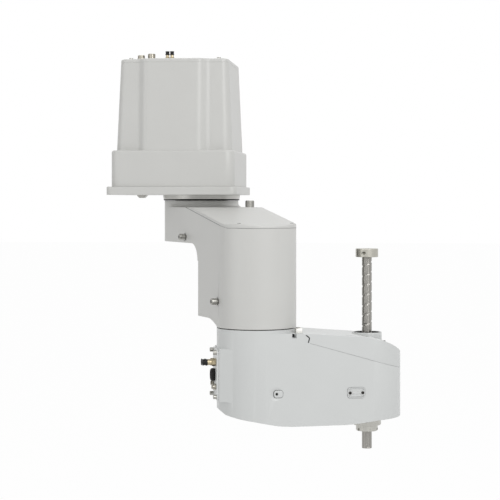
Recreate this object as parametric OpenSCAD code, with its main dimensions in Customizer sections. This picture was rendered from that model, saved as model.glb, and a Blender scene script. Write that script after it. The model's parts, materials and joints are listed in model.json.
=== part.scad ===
// Ceiling-mounted four-axis arm robot with a lifting and turning spindle.
// Frame: the origin is where the shoulder axis meets the mounting plane, which is the
// top of the broad block at the foot of the base. +Z is up and +X points to the front
// of the base. All sizes are in millimetres.
// The arm is drawn at rest, with both arms swung to one side and the spindle raised.

/* [Reach] */
// Distance from the shoulder axis to the elbow axis
inner_len = 325; // [315:1:335]
// Distance from the elbow axis to the spindle axis
outer_len = 225; // [218:1:232]
// Heading of the inner arm at rest, in degrees from the front of the base
inner_heading = -62.4; // [-90:0.1:-30]
// Turn of the outer arm from the inner arm at rest, in degrees
elbow_turn = 76; // [45:0.1:110]

/* [Heights] */
// Mounting plane down to the shoulder seam
shoulder_drop = 106; // [100:1:112]
// Shoulder seam down to the elbow seam
elbow_drop = 254; // [248:1:260]
// Height of the outer arm's housing, from the elbow seam to its flat bottom
outer_depth = 190; // [184:1:196]
// Travel of the spindle
stroke = 180; // [150:5:180]

/* [Base] */
// Height of the housing above the mounting plane, with its lid
housing_h = 196; // [180:1:210]
// Rear face of the housing at the mounting plane, behind the shoulder axis
box_rear = 170; // [167:1:172]
// Front face of the housing at the mounting plane, ahead of the shoulder axis
box_front = 80; // [77:1:83]
// Half width of the housing over its two side pads, at the mounting plane
pad_half = 129; // [127:0.5:131]
// Half width of the housing at its recessed corners, at the mounting plane
recess_half = 115; // [112:0.5:117]
// Length of the flat of the side pads between the recessed corners
pad_len = 118; // [100:1:125]
// Inward slope of the housing's walls, in degrees
draft = 2.5; // [1.5:0.1:2.8]
// Thickness of the lid on the housing
lid_t = 8; // [6:1:10]
// Height of the mounting block
block_h = 77.5; // [70:0.5:82]
// Thickness of the flange plate under the block
flange_t = 17.5; // [15:0.5:20]
// Thread core diameter of the four ceiling bolts
ceiling_bolt_d = 6.8; // [6.6:0.1:7]
// Distance between the ceiling bolts along the base
ceiling_bolt_x = 196; // [190:1:200]
// Distance between the ceiling bolts across the base
ceiling_bolt_y = 243; // [241:1:245]
// Depth of the ceiling bolts' holes
ceiling_bolt_depth = 24; // [16:1:30]

/* [Arms] */
// Radius of the inner arm round the shoulder
shoulder_r = 81; // [80:0.5:83]
// Radius of both arms round the elbow
elbow_r = 79.5; // [78:0.5:80.5]
// Depth of the inner arm's beam below the shoulder seam
beam_depth = 90; // [84:1:92]
// Slope of the inner arm's cover, in degrees
cover_slope = 9.8; // [9:0.05:10.5]
// Thickness of the inner arm's cover
cover_t = 7.5; // [6:0.5:9]
// Radius of the outer arm's nose round the spindle
nose_r = 67; // [65:0.5:69]

/* [Spindle] */
// Diameter of the spindle
spindle_d = 20; // [18:1:22]
// Diameter of the hole through the spindle
spindle_bore_d = 11; // [8:1:12]
// Diameter of the stop collar on top of the spindle
collar_d = 45.5; // [42:0.5:48]
// Height of the stop collar
collar_h = 17; // [14:1:18]
// Gap between the raised spindle and the inner arm's underside
spindle_gap = 8; // [6:0.5:10]

/* [Hidden] */
$fn = 96;

// Colours of the real finishes
paint = "#cccbc6";
paint_cool = "#cdd0cf";
steel = "#9a9a98";
bright_steel = "#c4c4c2";
black_plastic = "#1f1f20";
brass = "#b9a268";

// Heights in the base frame
block_bottom = -block_h;
flange_bottom = block_bottom - flange_t;
joint_gap = 2;
collar_bottom = -shoulder_drop + joint_gap;

// Plan of the base
corner_r = 20;
block_rear_out = 8;
block_front_out = 7;
block_edge = 5;
block_inset = 3;
block_half = 133;
pad_slope = 16;
pad_mid = -46.5;
seat_depth = 2;
flange_out = 8.5;
flange_front_out = 6.5;
flange_corner = 15;
box_mid = (box_front - box_rear) / 2;
block_rear = box_rear + block_rear_out;
block_front = box_front + block_front_out;
lid_bottom = housing_h - lid_t;
lid_screw_x = 190;
lid_screw_inset = 15;
lid_screw_d = 8.5;
lid_screw_h = 3;
collar_out = 3.5;

// Wedge-shaped stop under the flange
fixed_stop_x = -132;
fixed_stop_half = 14;
fixed_stop_root = 11;
fixed_stop_tip = 5;
fixed_stop_gap = 4.5;

// Joints: a steel drive ring runs in a pocket with a running fit
drive_r = 58;
running_gap = 0.05;
drive_reach = 10;

// Inner arm, heights below the shoulder seam
hub_h = 15.5;
hub_fillet = 9;
hub_fillet_start = 20;
hub_fillet_half = 78;
cover_level_at_elbow = -42.5;
cover_bend = 347;
seam_bend = 354;
cover_front = 378;
cover_tip_top = -51;
cover_tip_seam = -55.5;
cover_crown_half = 60;
cover_crown_drop = 1.6;
column_back = 128;
column_corner = 5;
column_foot = elbow_drop - 16;
foot_fillet = 25;
fillet_r = 35;
side_screw_d = 13;
side_screw_recess = 2;
side_recess_d = 16;
side_screw_h = 9.5;
side_screw_neck_d = 9;
side_screw_neck_h = 6;
side_screw_spots = [[121.5, -77.5], [315, -201.5]];
inner_lean = asin((shoulder_r - elbow_r) / inner_len);
wall_inset = 0.2;

// Stop bolt on top of the inner arm
stop_bolt_u = 124;
stop_bolt_v = 65;
stop_bolt_d = 18;
stop_socket_d = 11;
stop_socket_h = 6;

// Outer arm, heights below the elbow seam
arm_top = -7.5;
slope_start = 95;
crown_start = 200;
crown_level = -15;
crown_r = 170;
seam_start = 92;
seam_step = [-9, 2];
seam_notch = 9;
seam_z = -26;
seam_slope = 15.9;
nose_x = outer_len + nose_r;
bottom_rise = [
    [nose_x + 1, 11], [236, 8], [195, 2.5], [170, 0.8], [62, 0.1], [46, 0.8], [32, 2.2], [20, 4.2],
    [-10, 10], [-43, 15.5], [-67, 21], [-elbow_r - 1, 31]
];
nut_seat = 180;
outer_lean = asin((elbow_r - nose_r) / outer_len);
hatch_s = 185;
hatch_z = -126;
hatch_half_l = 18;
hatch_half_h = 10.5;
hatch_t = 1.5;
hatch_screw_x = 12.8;
hatch_screw_d = 6;
hatch_screw_h = 1.5;
plug_s = 28.6;
plug_z = -125;
plug_d = 12;
plug_h = 1.5;

// Stop block on top of the outer arm, and the pocket cut into the rim beside it
stop_s = 69;
stop_t = 69;
stop_len = 12.5;
stop_wide = 22;
stop_top = 2;
stop_screw_d = 8.5;
stop_screw_h = 1;
stop_screw_t = [5.5, 16.5];
stop_pocket = [9, 16, 9];

// Rear boss and its panel
boss_face = elbow_r + 0.2;
boss_face_half = 39;
boss_root = 46;
boss_root_half = 64;
panel_t = 4;
panel_half = 37;
panel_corner = 7;
panel_top = -41;
panel_low = -141.5;
air_z = -68.8;
air_out = 17;
air_ring_d = 13;
air_ring_h = 9.5;
air_hex_d = 15;
air_hex_h = 8;
air_neck_d = 11;
air_places = [-16, 12];
air_step = 14;
panel_screw_d = 8.5;
panel_screw_h = 6.5;
panel_screw_y = 31;
panel_screw_z = [-47, -134.5];
motor_place = [2, -94];
motor_socket_d = 26;
motor_socket_h = 9;
socket_foot_d = 12;
socket_foot_h = 3;
socket_d = 9;
socket_h = 3.5;
signal_places = [[-18, -116], [4, -119], [22, -113]];

// Spindle, heights below the elbow seam
spindle_top = elbow_drop - beam_depth - spindle_gap;
boss_rim = -12;
boss_r = 30;
boss_hole_r = 27;
boss_floor = spindle_top - stroke - collar_h - 7;
nut_flange_r = 28.5;
nut_flange_h = 9;
spline_nut_r = 22;
spline_nut_h = 12;
nut_len = 60;
nut_clearance = 0.5;
screw_nut_h = 30;
shaft_below = 56.5;
shaft_bottom = -outer_depth - shaft_below;
end_length = 34;
end_groove = 1.5;
slot_heading = 200;
slot_w = 2;
clamp_u = 17;
clamp_v = 7;
clamp_screw_d = 5.5;
clamp_screw_h = 5;

// Connectors on the ceiling side of the base
connector_y = -80;
connector_d = 18;
connector_foot = 3;
power_x = -120;
power_d = 15;
power_h = 7;
signal_x = -97.5;
signal_d = 16;
signal_h = 10;
air_x = -58;
air_half_pitch = 5;
base_hex_d = 9.6;
base_hex_h = 5;
base_neck_d = 7;
base_neck_h = 5;
base_ring_d = 9;
base_ring_h = 8;

// ---------------------------------------------------------------- frames

module at_shoulder() {
    translate([0, 0, -shoulder_drop]) rotate(inner_heading) children();
}

module at_elbow() {
    at_shoulder() translate([inner_len, 0, -elbow_drop]) rotate(elbow_turn) children();
}

module at_spindle() {
    at_elbow() translate([outer_len, 0, 0]) children();
}

// ---------------------------------------------------------------- outlines

// Rectangle from x0 to x1 and -half to half with round corners
module rounded_rect(x0, x1, half, r) {
    translate([x0 + r, -half]) square([x1 - x0 - 2 * r, 2 * half]);
    translate([x0, -half + r]) square([x1 - x0, 2 * half - 2 * r]);
    for (x = [x0 + r, x1 - r], y = [-half + r, half - r])
        translate([x, y]) circle(r);
}

// The part of an arm's plan between its two round ends, a hair narrower than their tangents
module straight_part(r1, r2, d) {
    lean = asin((r1 - r2) / d);
    near = r1 - wall_inset;
    far = r2 - wall_inset;
    polygon([
        [near * sin(lean), near * cos(lean)],
        [d + far * sin(lean), far * cos(lean)],
        [d + far * sin(lean), -far * cos(lean)],
        [near * sin(lean), -near * cos(lean)]
    ]);
}

// Upright block with an arm's plan: round ends at the origin and at distance d, and walls between
module belt_block(r1, r2, d, h) {
    union() {
        cylinder(r = r1, h = h);
        translate([d, 0, 0]) cylinder(r = r2, h = h);
        linear_extrude(h) straight_part(r1, r2, d);
    }
}

// Something at s along the outer arm and z below the elbow seam that points out of its walls
module on_outer_side(s, z) {
    for (side = [0, 1])
        at_elbow() mirror([0, side, 0]) rotate(-outer_lean)
            translate([s, elbow_r - wall_inset, z]) rotate([-90, 0, 0]) children();
}

// A profile drawn in X and Z, as wide as the given half width to both sides
module across(half) {
    rotate([90, 0, 0]) linear_extrude(2 * half, center = true) children();
}

// ---------------------------------------------------------------- base

// Plan of the housing between its recessed corners, drawn in by shrink
module recess_plan(shrink) {
    rounded_rect(-box_rear + shrink, box_front - shrink, recess_half - shrink, corner_r);
}

// Plan of the two side pads, whose slopes run on a little way into the recessed corners
module pad_plan(shrink) {
    flat = pad_len / 2;
    run_on = 1.1;
    foot = flat + pad_slope * run_on;
    foot_half = pad_half - (pad_half - recess_half) * run_on;
    corners = [[-foot, foot_half], [-flat, pad_half], [flat, pad_half], [foot, foot_half]];
    polygon([for (side = [-1, 1], p = corners) [pad_mid + side * p[0], side * (p[1] - shrink)]]);
}

module housing_plan(shrink) {
    recess_plan(shrink);
    pad_plan(shrink);
}

module base_housing() {
    top_shrink = lid_bottom * tan(draft);
    slab = 0.01;
    color(paint) {
        hull() {
            linear_extrude(slab) recess_plan(0);
            translate([0, 0, lid_bottom - slab]) linear_extrude(slab) recess_plan(top_shrink);
        }
        hull() {
            linear_extrude(slab) pad_plan(0);
            translate([0, 0, lid_bottom - slab]) linear_extrude(slab) pad_plan(top_shrink);
        }
        translate([0, 0, -seat_depth]) linear_extrude(seat_depth + slab) housing_plan(0);
    }
}

module base_lid() {
    shrink = lid_bottom * tan(draft);
    color(paint) translate([0, 0, lid_bottom]) union() {
        linear_extrude(lid_t) recess_plan(shrink);
        linear_extrude(lid_t) pad_plan(shrink);
    }
}

module lid_screws() {
    reach = recess_half - lid_bottom * tan(draft) - lid_screw_inset;
    color(steel) for (x = [-1, 1], y = [-1, 1])
        translate([box_mid + x * lid_screw_x / 2, y * reach, housing_h])
            cylinder(d = lid_screw_d, h = lid_screw_h, $fn = 48);
}

module mounting_block() {
    color(paint) difference() {
        hull() {
            translate([0, 0, block_bottom]) linear_extrude(block_h - block_edge)
                rounded_rect(-block_rear, block_front, block_half, corner_r);
            translate([0, 0, block_bottom]) linear_extrude(block_h)
                rounded_rect(-block_rear + block_inset, block_front - block_inset,
                    block_half - block_inset, corner_r - block_inset);
        }
        translate([0, 0, -seat_depth]) linear_extrude(seat_depth + 1) housing_plan(0);
        for (x = [-1, 1], y = [-1, 1])
            translate([box_mid + x * ceiling_bolt_x / 2, y * ceiling_bolt_y / 2, -ceiling_bolt_depth])
                cylinder(d = ceiling_bolt_d, h = ceiling_bolt_depth + 1);
    }
}

module base_flange() {
    color(paint) translate([0, 0, flange_bottom]) linear_extrude(flange_t)
        rounded_rect(-block_rear - flange_out, block_front + flange_front_out,
            block_half + flange_out, flange_corner);
}

module shoulder_collar() {
    color(steel) translate([0, 0, collar_bottom])
        cylinder(r = shoulder_r + collar_out, h = flange_bottom - collar_bottom);
}

module shoulder_drive() {
    color(steel) translate([0, 0, collar_bottom - drive_reach])
        cylinder(r = drive_r, h = drive_reach);
}

module shoulder_stop() {
    low = fixed_stop_gap - shoulder_drop;
    color(steel) translate([fixed_stop_x, 0, 0]) across(fixed_stop_half) polygon([
        [-fixed_stop_root, flange_bottom],
        [fixed_stop_root, flange_bottom],
        [fixed_stop_tip, low],
        [-fixed_stop_tip, low]
    ]);
}

// A stepped round body along +Z: a foot, then the body on it
module stepped_round(foot_d, foot_h, body_d, body_h) {
    cylinder(d = foot_d, h = foot_h);
    translate([0, 0, foot_h]) cylinder(d = body_d, h = body_h);
}

// A push-in air fitting without its ring: a hexagon with a round neck on it, along +Z
module air_fitting(hex_d, hex_h, neck_d, neck_h) {
    cylinder(d = hex_d, h = hex_h, $fn = 6);
    translate([0, 0, hex_h]) cylinder(d = neck_d, h = neck_h);
}

module power_connector() {
    color(bright_steel) translate([power_x, connector_y, housing_h])
        stepped_round(connector_d, connector_foot, power_d, power_h);
}

module signal_connector() {
    color(bright_steel) translate([signal_x, connector_y, housing_h])
        stepped_round(connector_d, connector_foot, signal_d, signal_h);
}

module base_air_ports() {
    color(brass) for (i = [-1, 1])
        translate([air_x + i * air_half_pitch, connector_y, housing_h])
            air_fitting(base_hex_d, base_hex_h, base_neck_d, base_neck_h);
}

module base_air_collars() {
    color(black_plastic) for (i = [-1, 1])
        translate([air_x + i * air_half_pitch, connector_y, housing_h + base_hex_h + base_neck_h])
            cylinder(d = base_ring_d, h = base_ring_h);
}

// ---------------------------------------------------------------- inner arm

// Full height of the inner arm, over its whole plan
module inner_block() {
    translate([0, 0, -elbow_drop]) belt_block(shoulder_r, elbow_r, inner_len, elbow_drop);
}

// The hub flares into the arm's top with a round hollow ahead of the shoulder
module shoulder_hub() {
    r = hub_fillet;
    color(paint) at_shoulder() difference() {
        union() {
            translate([0, 0, -hub_h]) cylinder(r = shoulder_r, h = hub_h - joint_gap / 2);
            intersection() {
                rotate_extrude() difference() {
                    translate([shoulder_r - r, -hub_h]) square([2 * r, r]);
                    translate([shoulder_r + r, r - hub_h]) circle(r);
                }
                translate([hub_fillet_start, -hub_fillet_half, -hub_h])
                    cube([shoulder_r + 2 * r, 2 * hub_fillet_half, hub_h]);
            }
        }
        translate([0, 0, -hub_h - 1]) cylinder(r = drive_r + running_gap, h = hub_h + 2);
    }
}

// Height of the cover's top surface at distance u from the shoulder axis
function cover_top(u) = cover_level_at_elbow + (inner_len - u) * tan(cover_slope);

// Place where a surface at the cover's slope, lowered by drop, meets the flat top
function meets_top(drop) = inner_len - (drop - cover_level_at_elbow - hub_h) / tan(cover_slope);

// Anything drawn on the level Z = 0 is laid on the slope of the cover's top
module on_slope() {
    lift = cover_top(0);
    multmatrix([[1, 0, 0, 0], [0, 1, 0, 0], [-tan(cover_slope), 0, 1, lift], [0, 0, 0, 1]]) children();
}

// Upper edge of the casting in side view, under the cover
function cover_seam() = [
    [meets_top(cover_t), -hub_h],
    [seam_bend, cover_top(seam_bend) - cover_t],
    [inner_len + elbow_r + 1, cover_tip_seam]
];

// Side view of the inner arm without its cover and its round foot
module inner_profile() {
    tip = inner_len + elbow_r + 1;
    back = inner_len - column_back;
    steps = 16;
    polygon(concat(
        [[-shoulder_r - 1, -hub_h]],
        cover_seam(),
        [[tip, -column_foot], [back, -column_foot]],
        [for (i = [0:steps]) let (a = 90 * i / steps)
            [back - fillet_r * (1 - cos(a)), -beam_depth - fillet_r * (1 - sin(a))]],
        [[-shoulder_r - 1, -beam_depth]]
    ));
}

module inner_arm_casting() {
    back = inner_len - column_back;
    back_half = (shoulder_r - wall_inset - back * sin(inner_lean)) / cos(inner_lean);
    color(paint) at_shoulder() difference() {
        union() {
            intersection() {
                inner_block();
                across(shoulder_r + 1) inner_profile();
            }
            translate([inner_len, 0, joint_gap / 2 - elbow_drop])
                cylinder(r = elbow_r, h = elbow_drop - column_foot);
            foot_fillet_rear();
        }
        for (side = [0, 1])
            mirror([0, side, 0]) translate([back, -back_half, -column_foot - 1]) column_edge_cut();
        side_screw_places() cylinder(d = side_recess_d, h = side_screw_recess + 1);
    }
}

// Round hollow between the column's underside and the round foot at the elbow
module foot_fillet_rear() {
    low = column_foot + foot_fillet - elbow_drop + joint_gap / 2;
    reach = sqrt(foot_fillet * foot_fillet - low * low);
    intersection() {
        translate([inner_len, 0, -column_foot]) rotate_extrude() difference() {
            translate([elbow_r - 9, joint_gap / 2 - elbow_drop + column_foot])
                square([reach + 9, elbow_drop - column_foot]);
            translate([elbow_r + reach, -foot_fillet]) circle(foot_fillet);
        }
        translate([0, 0, -elbow_drop]) linear_extrude(elbow_drop) intersection() {
            straight_part(shoulder_r, elbow_r, inner_len);
            translate([inner_len - column_back, -elbow_r - 1]) square([column_back - 5, 2 * elbow_r + 2]);
        }
    }
}

// What rounds off one upright edge at the back of the column
module column_edge_cut() {
    r = column_corner;
    difference() {
        translate([-1, -1, 0]) cube([r + 1, r + 1, column_foot - beam_depth - fillet_r + 1]);
        translate([r, r, -1]) cylinder(r = r, h = elbow_drop);
    }
}

// Bottoms of the screws' recesses in the wall on the -Y side, pointing outwards
module side_screw_places() {
    bottom = shoulder_r - wall_inset - side_screw_recess;
    for (spot = side_screw_spots)
        mirror([0, 1, 0]) rotate(-inner_lean) translate([spot[0], bottom, spot[1]])
            rotate([-90, 0, 0]) children();
}

// Section of the cover across the arm: a flat crown with a shallow slope to each side wall
module crown_section(reach) {
    outer = 2 * cover_crown_half;
    low = cover_crown_drop * (outer - cover_crown_half) / (elbow_r - cover_crown_half);
    rotate([90, 0, 90]) linear_extrude(reach) polygon([
        [-outer, -low],
        [-cover_crown_half, 0],
        [cover_crown_half, 0],
        [outer, -low],
        [outer, -elbow_drop],
        [-outer, -elbow_drop]
    ]);
}

module inner_arm_cover() {
    tip = inner_len + elbow_r + 1;
    color(paint) at_shoulder() intersection() {
        inner_block();
        across(shoulder_r + 1) polygon(concat(cover_seam(), [
            [tip, cover_tip_top],
            [cover_front, cover_top(cover_bend)],
            [cover_bend, cover_top(cover_bend)],
            [meets_top(0), -hub_h]
        ]));
        union() {
            on_slope() crown_section(cover_bend);
            translate([cover_bend - 0.5, 0, cover_top(cover_bend)]) crown_section(tip - cover_bend);
        }
    }
}

module shoulder_stop_bolt() {
    color(bright_steel) at_shoulder() translate([stop_bolt_u, stop_bolt_v, -hub_h]) difference() {
        cylinder(d = stop_bolt_d, h = hub_h - 1);
        translate([0, 0, hub_h - 1 - stop_socket_h]) cylinder(d = stop_socket_d, h = hub_h, $fn = 6);
    }
}

module inner_side_screws() {
    color(steel) at_shoulder() side_screw_places()
        stepped_round(side_screw_neck_d, side_screw_neck_h, side_screw_d, side_screw_h);
}

module elbow_drive() {
    color(steel) at_shoulder() translate([inner_len, 0, -elbow_drop + joint_gap / 2 - drive_reach])
        cylinder(r = drive_r, h = drive_reach);
}

// ---------------------------------------------------------------- outer arm

// Side view of the housing, from the elbow seam down to its bottom, which is flat ahead
// of the elbow and sweeps up to the rear
module outer_profile() {
    steps = 12;
    lean = atan((arm_top - crown_level) / (crown_start - slope_start));
    reach = asin((nose_x + 1 - crown_start) / crown_r + sin(lean));
    polygon(concat(
        [[-elbow_r - 1, arm_top], [slope_start, arm_top]],
        [for (i = [0:steps]) let (a = lean + (reach - lean) * i / steps)
            [crown_start + crown_r * (sin(a) - sin(lean)), crown_level - crown_r * (cos(lean) - cos(a))]],
        [for (p = bottom_rise) [p[0], p[1] - outer_depth]]
    ));
}

// Seam between the housing's casting and its cover, in side view
function seam_line() = [
    [seam_start + seam_step[0], 1],
    [seam_start + seam_step[0], arm_top],
    [seam_start + seam_step[1], arm_top - seam_notch],
    [seam_start, seam_z],
    [nose_x + 2, seam_z - (nose_x + 2 - seam_start) * tan(seam_slope)]
];

module above_seam() {
    polygon(concat(seam_line(), [[nose_x + 2, 1]]));
}

module below_seam() {
    polygon(concat(seam_line(), [
        [nose_x + 2, -outer_depth - 2],
        [-elbow_r - 2, -outer_depth - 2],
        [-elbow_r - 2, 1]
    ]));
}

module outer_solid() {
    intersection() {
        translate([0, 0, -outer_depth - 1]) belt_block(elbow_r, nose_r, outer_len, outer_depth + 1);
        across(elbow_r + 1) outer_profile();
    }
}

module spindle_well() {
    translate([outer_len, 0, boss_floor]) cylinder(r = boss_r, h = -boss_floor);
    translate([outer_len, 0, -outer_depth - 1]) cylinder(r = spline_nut_r + 1, h = outer_depth);
    translate([outer_len, 0, -outer_depth - 1])
        cylinder(r = nut_flange_r, h = outer_depth + 1 - nut_seat);
}

module outer_arm_casting() {
    color(paint_cool) at_elbow() difference() {
        union() {
            outer_solid();
            translate([0, 0, arm_top]) cylinder(r = elbow_r, h = -arm_top - joint_gap / 2);
            rear_boss();
        }
        across(elbow_r + 1) above_seam();
        spindle_well();
        translate([0, 0, joint_gap / 2 - drive_reach - 1])
            cylinder(r = drive_r + running_gap, h = 2 * drive_reach);
        translate([stop_s - stop_pocket[0], -elbow_r - 1, arm_top - stop_pocket[2]])
            cube([stop_pocket[0], stop_pocket[1], stop_pocket[2] + 1]);
    }
}

// Tapered boss behind the elbow, which carries the connector panel
module rear_boss() {
    translate([0, 0, panel_low - 2]) linear_extrude(panel_top - panel_low + 4) polygon([
        [-boss_root, -boss_root_half],
        [-boss_face, -boss_face_half],
        [-boss_face, boss_face_half],
        [-boss_root, boss_root_half]
    ]);
}

module outer_arm_cover() {
    color(paint_cool) at_elbow() difference() {
        outer_solid();
        across(elbow_r + 2) below_seam();
        spindle_well();
    }
}

module elbow_stop_block() {
    color(bright_steel) at_elbow() translate([stop_s, -stop_t, arm_top])
        cube([stop_len, stop_wide, stop_top - arm_top]);
}

module elbow_stop_screws() {
    color(steel) at_elbow() for (t = stop_screw_t)
        translate([stop_s + stop_len / 2, t - stop_t, stop_top])
            cylinder(d = stop_screw_d, h = stop_screw_h, $fn = 48);
}

module spindle_boss() {
    color(paint_cool) at_spindle() difference() {
        translate([0, 0, boss_floor]) cylinder(r = boss_r, h = boss_rim - boss_floor);
        translate([0, 0, boss_floor - 1]) cylinder(r = boss_hole_r, h = boss_rim - boss_floor + 2);
    }
}

module rear_panel() {
    half = (panel_top - panel_low) / 2;
    color(paint_cool) at_elbow() translate([-boss_face, 0, (panel_top + panel_low) / 2])
        rotate([0, -90, 0]) linear_extrude(panel_t) rounded_rect(-half, half, panel_half, panel_corner);
}

// Something that stands on the rear panel, its axis pointing to the rear
module on_panel(y, z, out = 0) {
    at_elbow() translate([-boss_face - panel_t - out, y, z]) rotate([0, -90, 0]) children();
}

module panel_screws() {
    color(steel) for (y = [-panel_screw_y, panel_screw_y], z = panel_screw_z)
        on_panel(y, z) cylinder(d = panel_screw_d, h = panel_screw_h, $fn = 48);
}

module air_fittings() {
    color(brass) for (y = air_places)
        on_panel(y, air_z - y / air_step)
            air_fitting(air_hex_d, air_hex_h, air_neck_d, air_out - air_hex_h);
}

module air_collars() {
    color(black_plastic) for (y = air_places)
        on_panel(y, air_z - y / air_step, air_out) cylinder(d = air_ring_d, h = air_ring_h);
}

module motor_socket() {
    color(black_plastic) on_panel(motor_place[0], motor_place[1])
        cylinder(d = motor_socket_d, h = motor_socket_h);
}

module signal_sockets() {
    color(bright_steel) for (p = signal_places)
        on_panel(p[0], p[1]) stepped_round(socket_foot_d, socket_foot_h, socket_d, socket_h);
}

// A plate with round ends, of the given half length and half height
module round_ended(half_l, half_h) {
    hull() for (x = [-1, 1])
        translate([x * (half_l - half_h), 0]) circle(half_h, $fn = 32);
}

module side_hatch() {
    color(paint_cool) on_outer_side(hatch_s, hatch_z) linear_extrude(hatch_t)
        round_ended(hatch_half_l, hatch_half_h);
}

module hatch_screws() {
    color(steel) for (x = [-hatch_screw_x, hatch_screw_x])
        on_outer_side(hatch_s + x, hatch_z) translate([0, 0, hatch_t])
            cylinder(d = hatch_screw_d, h = hatch_screw_h, $fn = 48);
}

module service_plug() {
    color(black_plastic) on_outer_side(plug_s, plug_z) cylinder(d = plug_d, h = plug_h, $fn = 48);
}

module nut_flange() {
    low = -outer_depth - nut_flange_h;
    color(steel) at_spindle() difference() {
        translate([0, 0, low]) cylinder(r = nut_flange_r, h = -nut_seat - low);
        translate([0, 0, low - 1]) cylinder(r = spline_nut_r + nut_clearance, h = -nut_seat - low + 2);
    }
}

module spline_nut() {
    low = -outer_depth - nut_flange_h - spline_nut_h;
    color(bright_steel) at_spindle() difference() {
        translate([0, 0, low]) cylinder(r = spline_nut_r, h = nut_len);
        translate([0, 0, low - 1]) cylinder(d = spindle_d + 2 * running_gap, h = nut_len + 2);
    }
}

module screw_nut() {
    low = boss_floor - screw_nut_h;
    color(bright_steel) at_spindle() difference() {
        translate([0, 0, low]) cylinder(r = spline_nut_r, h = screw_nut_h);
        translate([0, 0, low - 1]) cylinder(d = spindle_d + 2 * running_gap, h = screw_nut_h + 2);
    }
}

// ---------------------------------------------------------------- spindle

// Hollow shaft whose free end is set off by a shallow groove
module spindle_shaft() {
    groove_low = shaft_bottom + end_length;
    groove_high = groove_low + end_groove;
    color(bright_steel) at_spindle() difference() {
        union() {
            translate([0, 0, shaft_bottom]) cylinder(d = spindle_d, h = end_length);
            translate([0, 0, groove_low]) cylinder(d = spindle_d - 1, h = end_groove);
            translate([0, 0, groove_high]) cylinder(d = spindle_d, h = spindle_top - groove_high);
        }
        translate([0, 0, shaft_bottom - 1])
            cylinder(d = spindle_bore_d, h = spindle_top - shaft_bottom + 2);
    }
}

// Where the collar's clamping screw sits, across its slot
module at_clamp_screw() {
    at_spindle() rotate(slot_heading) translate([clamp_u, clamp_v, spindle_top - collar_h / 2])
        rotate([-90, 0, 0]) children();
}

// Split clamping ring on top of the shaft, with a counterbore for its screw
module spindle_collar() {
    low = spindle_top - collar_h;
    color(steel) difference() {
        at_spindle() translate([0, 0, low]) cylinder(d = collar_d, h = collar_h);
        at_spindle() translate([0, 0, low - 1]) cylinder(d = spindle_d, h = collar_h + 2);
        at_spindle() rotate(slot_heading) translate([spindle_d / 2 - 1, -slot_w / 2, low - 1])
            cube([collar_d / 2, slot_w, collar_h + 2]);
        at_clamp_screw() cylinder(d = clamp_screw_d + 0.5, h = collar_d, $fn = 48);
    }
}

module collar_screw() {
    color(steel) at_clamp_screw() cylinder(d = clamp_screw_d, h = clamp_screw_h, $fn = 48);
}

// ---------------------------------------------------------------- assembly

base_housing();
base_lid();
lid_screws();
mounting_block();
base_flange();
shoulder_collar();
shoulder_drive();
shoulder_stop();
power_connector();
signal_connector();
base_air_ports();
base_air_collars();
shoulder_hub();
inner_arm_casting();
inner_arm_cover();
shoulder_stop_bolt();
inner_side_screws();
elbow_drive();
outer_arm_casting();
outer_arm_cover();
elbow_stop_block();
elbow_stop_screws();
spindle_boss();
rear_panel();
panel_screws();
air_fittings();
air_collars();
motor_socket();
signal_sockets();
side_hatch();
hatch_screws();
service_plug();
nut_flange();
spline_nut();
screw_nut();
spindle_shaft();
spindle_collar();
collar_screw();
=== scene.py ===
"""Ceiling-mounted four-axis arm robot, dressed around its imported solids.

Each sub-assembly is a class that builds its meshes in metres in the solids' own frame:
the base, the inner arm, the outer arm, the spline nut and the spindle. The finishes are
small classes, screws, knurls and the grooved shaft are Geometry Nodes, and the studio
holds the floor, the lamps and the camera.
"""
import json
import logging
import math
from dataclasses import dataclass, field
from enum import Enum
from functools import cache
from typing import Callable, ClassVar, Sequence

import bmesh
import bpy
from mathutils import Matrix, Vector


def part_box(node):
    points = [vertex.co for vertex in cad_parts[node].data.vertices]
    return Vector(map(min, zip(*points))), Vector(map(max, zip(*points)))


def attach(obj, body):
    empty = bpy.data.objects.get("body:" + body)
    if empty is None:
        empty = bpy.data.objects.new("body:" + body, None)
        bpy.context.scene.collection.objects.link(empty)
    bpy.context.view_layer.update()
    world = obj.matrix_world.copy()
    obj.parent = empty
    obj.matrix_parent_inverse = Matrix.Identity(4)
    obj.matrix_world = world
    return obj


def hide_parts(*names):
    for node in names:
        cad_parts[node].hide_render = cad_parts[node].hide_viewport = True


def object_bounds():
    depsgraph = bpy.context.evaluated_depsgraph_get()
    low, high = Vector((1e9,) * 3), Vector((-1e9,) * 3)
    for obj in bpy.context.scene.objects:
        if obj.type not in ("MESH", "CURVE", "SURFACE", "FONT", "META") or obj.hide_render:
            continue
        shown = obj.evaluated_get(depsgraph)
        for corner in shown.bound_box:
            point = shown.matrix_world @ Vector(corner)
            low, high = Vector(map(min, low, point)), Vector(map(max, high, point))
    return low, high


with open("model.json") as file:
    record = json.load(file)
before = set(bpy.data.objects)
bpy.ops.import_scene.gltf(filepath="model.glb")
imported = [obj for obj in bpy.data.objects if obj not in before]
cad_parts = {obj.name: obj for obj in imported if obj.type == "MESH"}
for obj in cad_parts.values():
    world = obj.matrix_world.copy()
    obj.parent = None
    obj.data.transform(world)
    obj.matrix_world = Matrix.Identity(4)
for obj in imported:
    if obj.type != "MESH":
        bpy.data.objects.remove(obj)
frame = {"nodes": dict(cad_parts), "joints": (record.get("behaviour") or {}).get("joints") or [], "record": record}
CAD_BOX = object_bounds()

LOG = logging.getLogger("arm_robot")
MM = 0.001
UP = Vector((0.0, 0.0, 1.0))
REAR = Vector((-1.0, 0.0, 0.0))
SIDES = (-1, 1)
# Angle in degrees above which an edge stays crisp.
CREASE = 32.0
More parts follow.
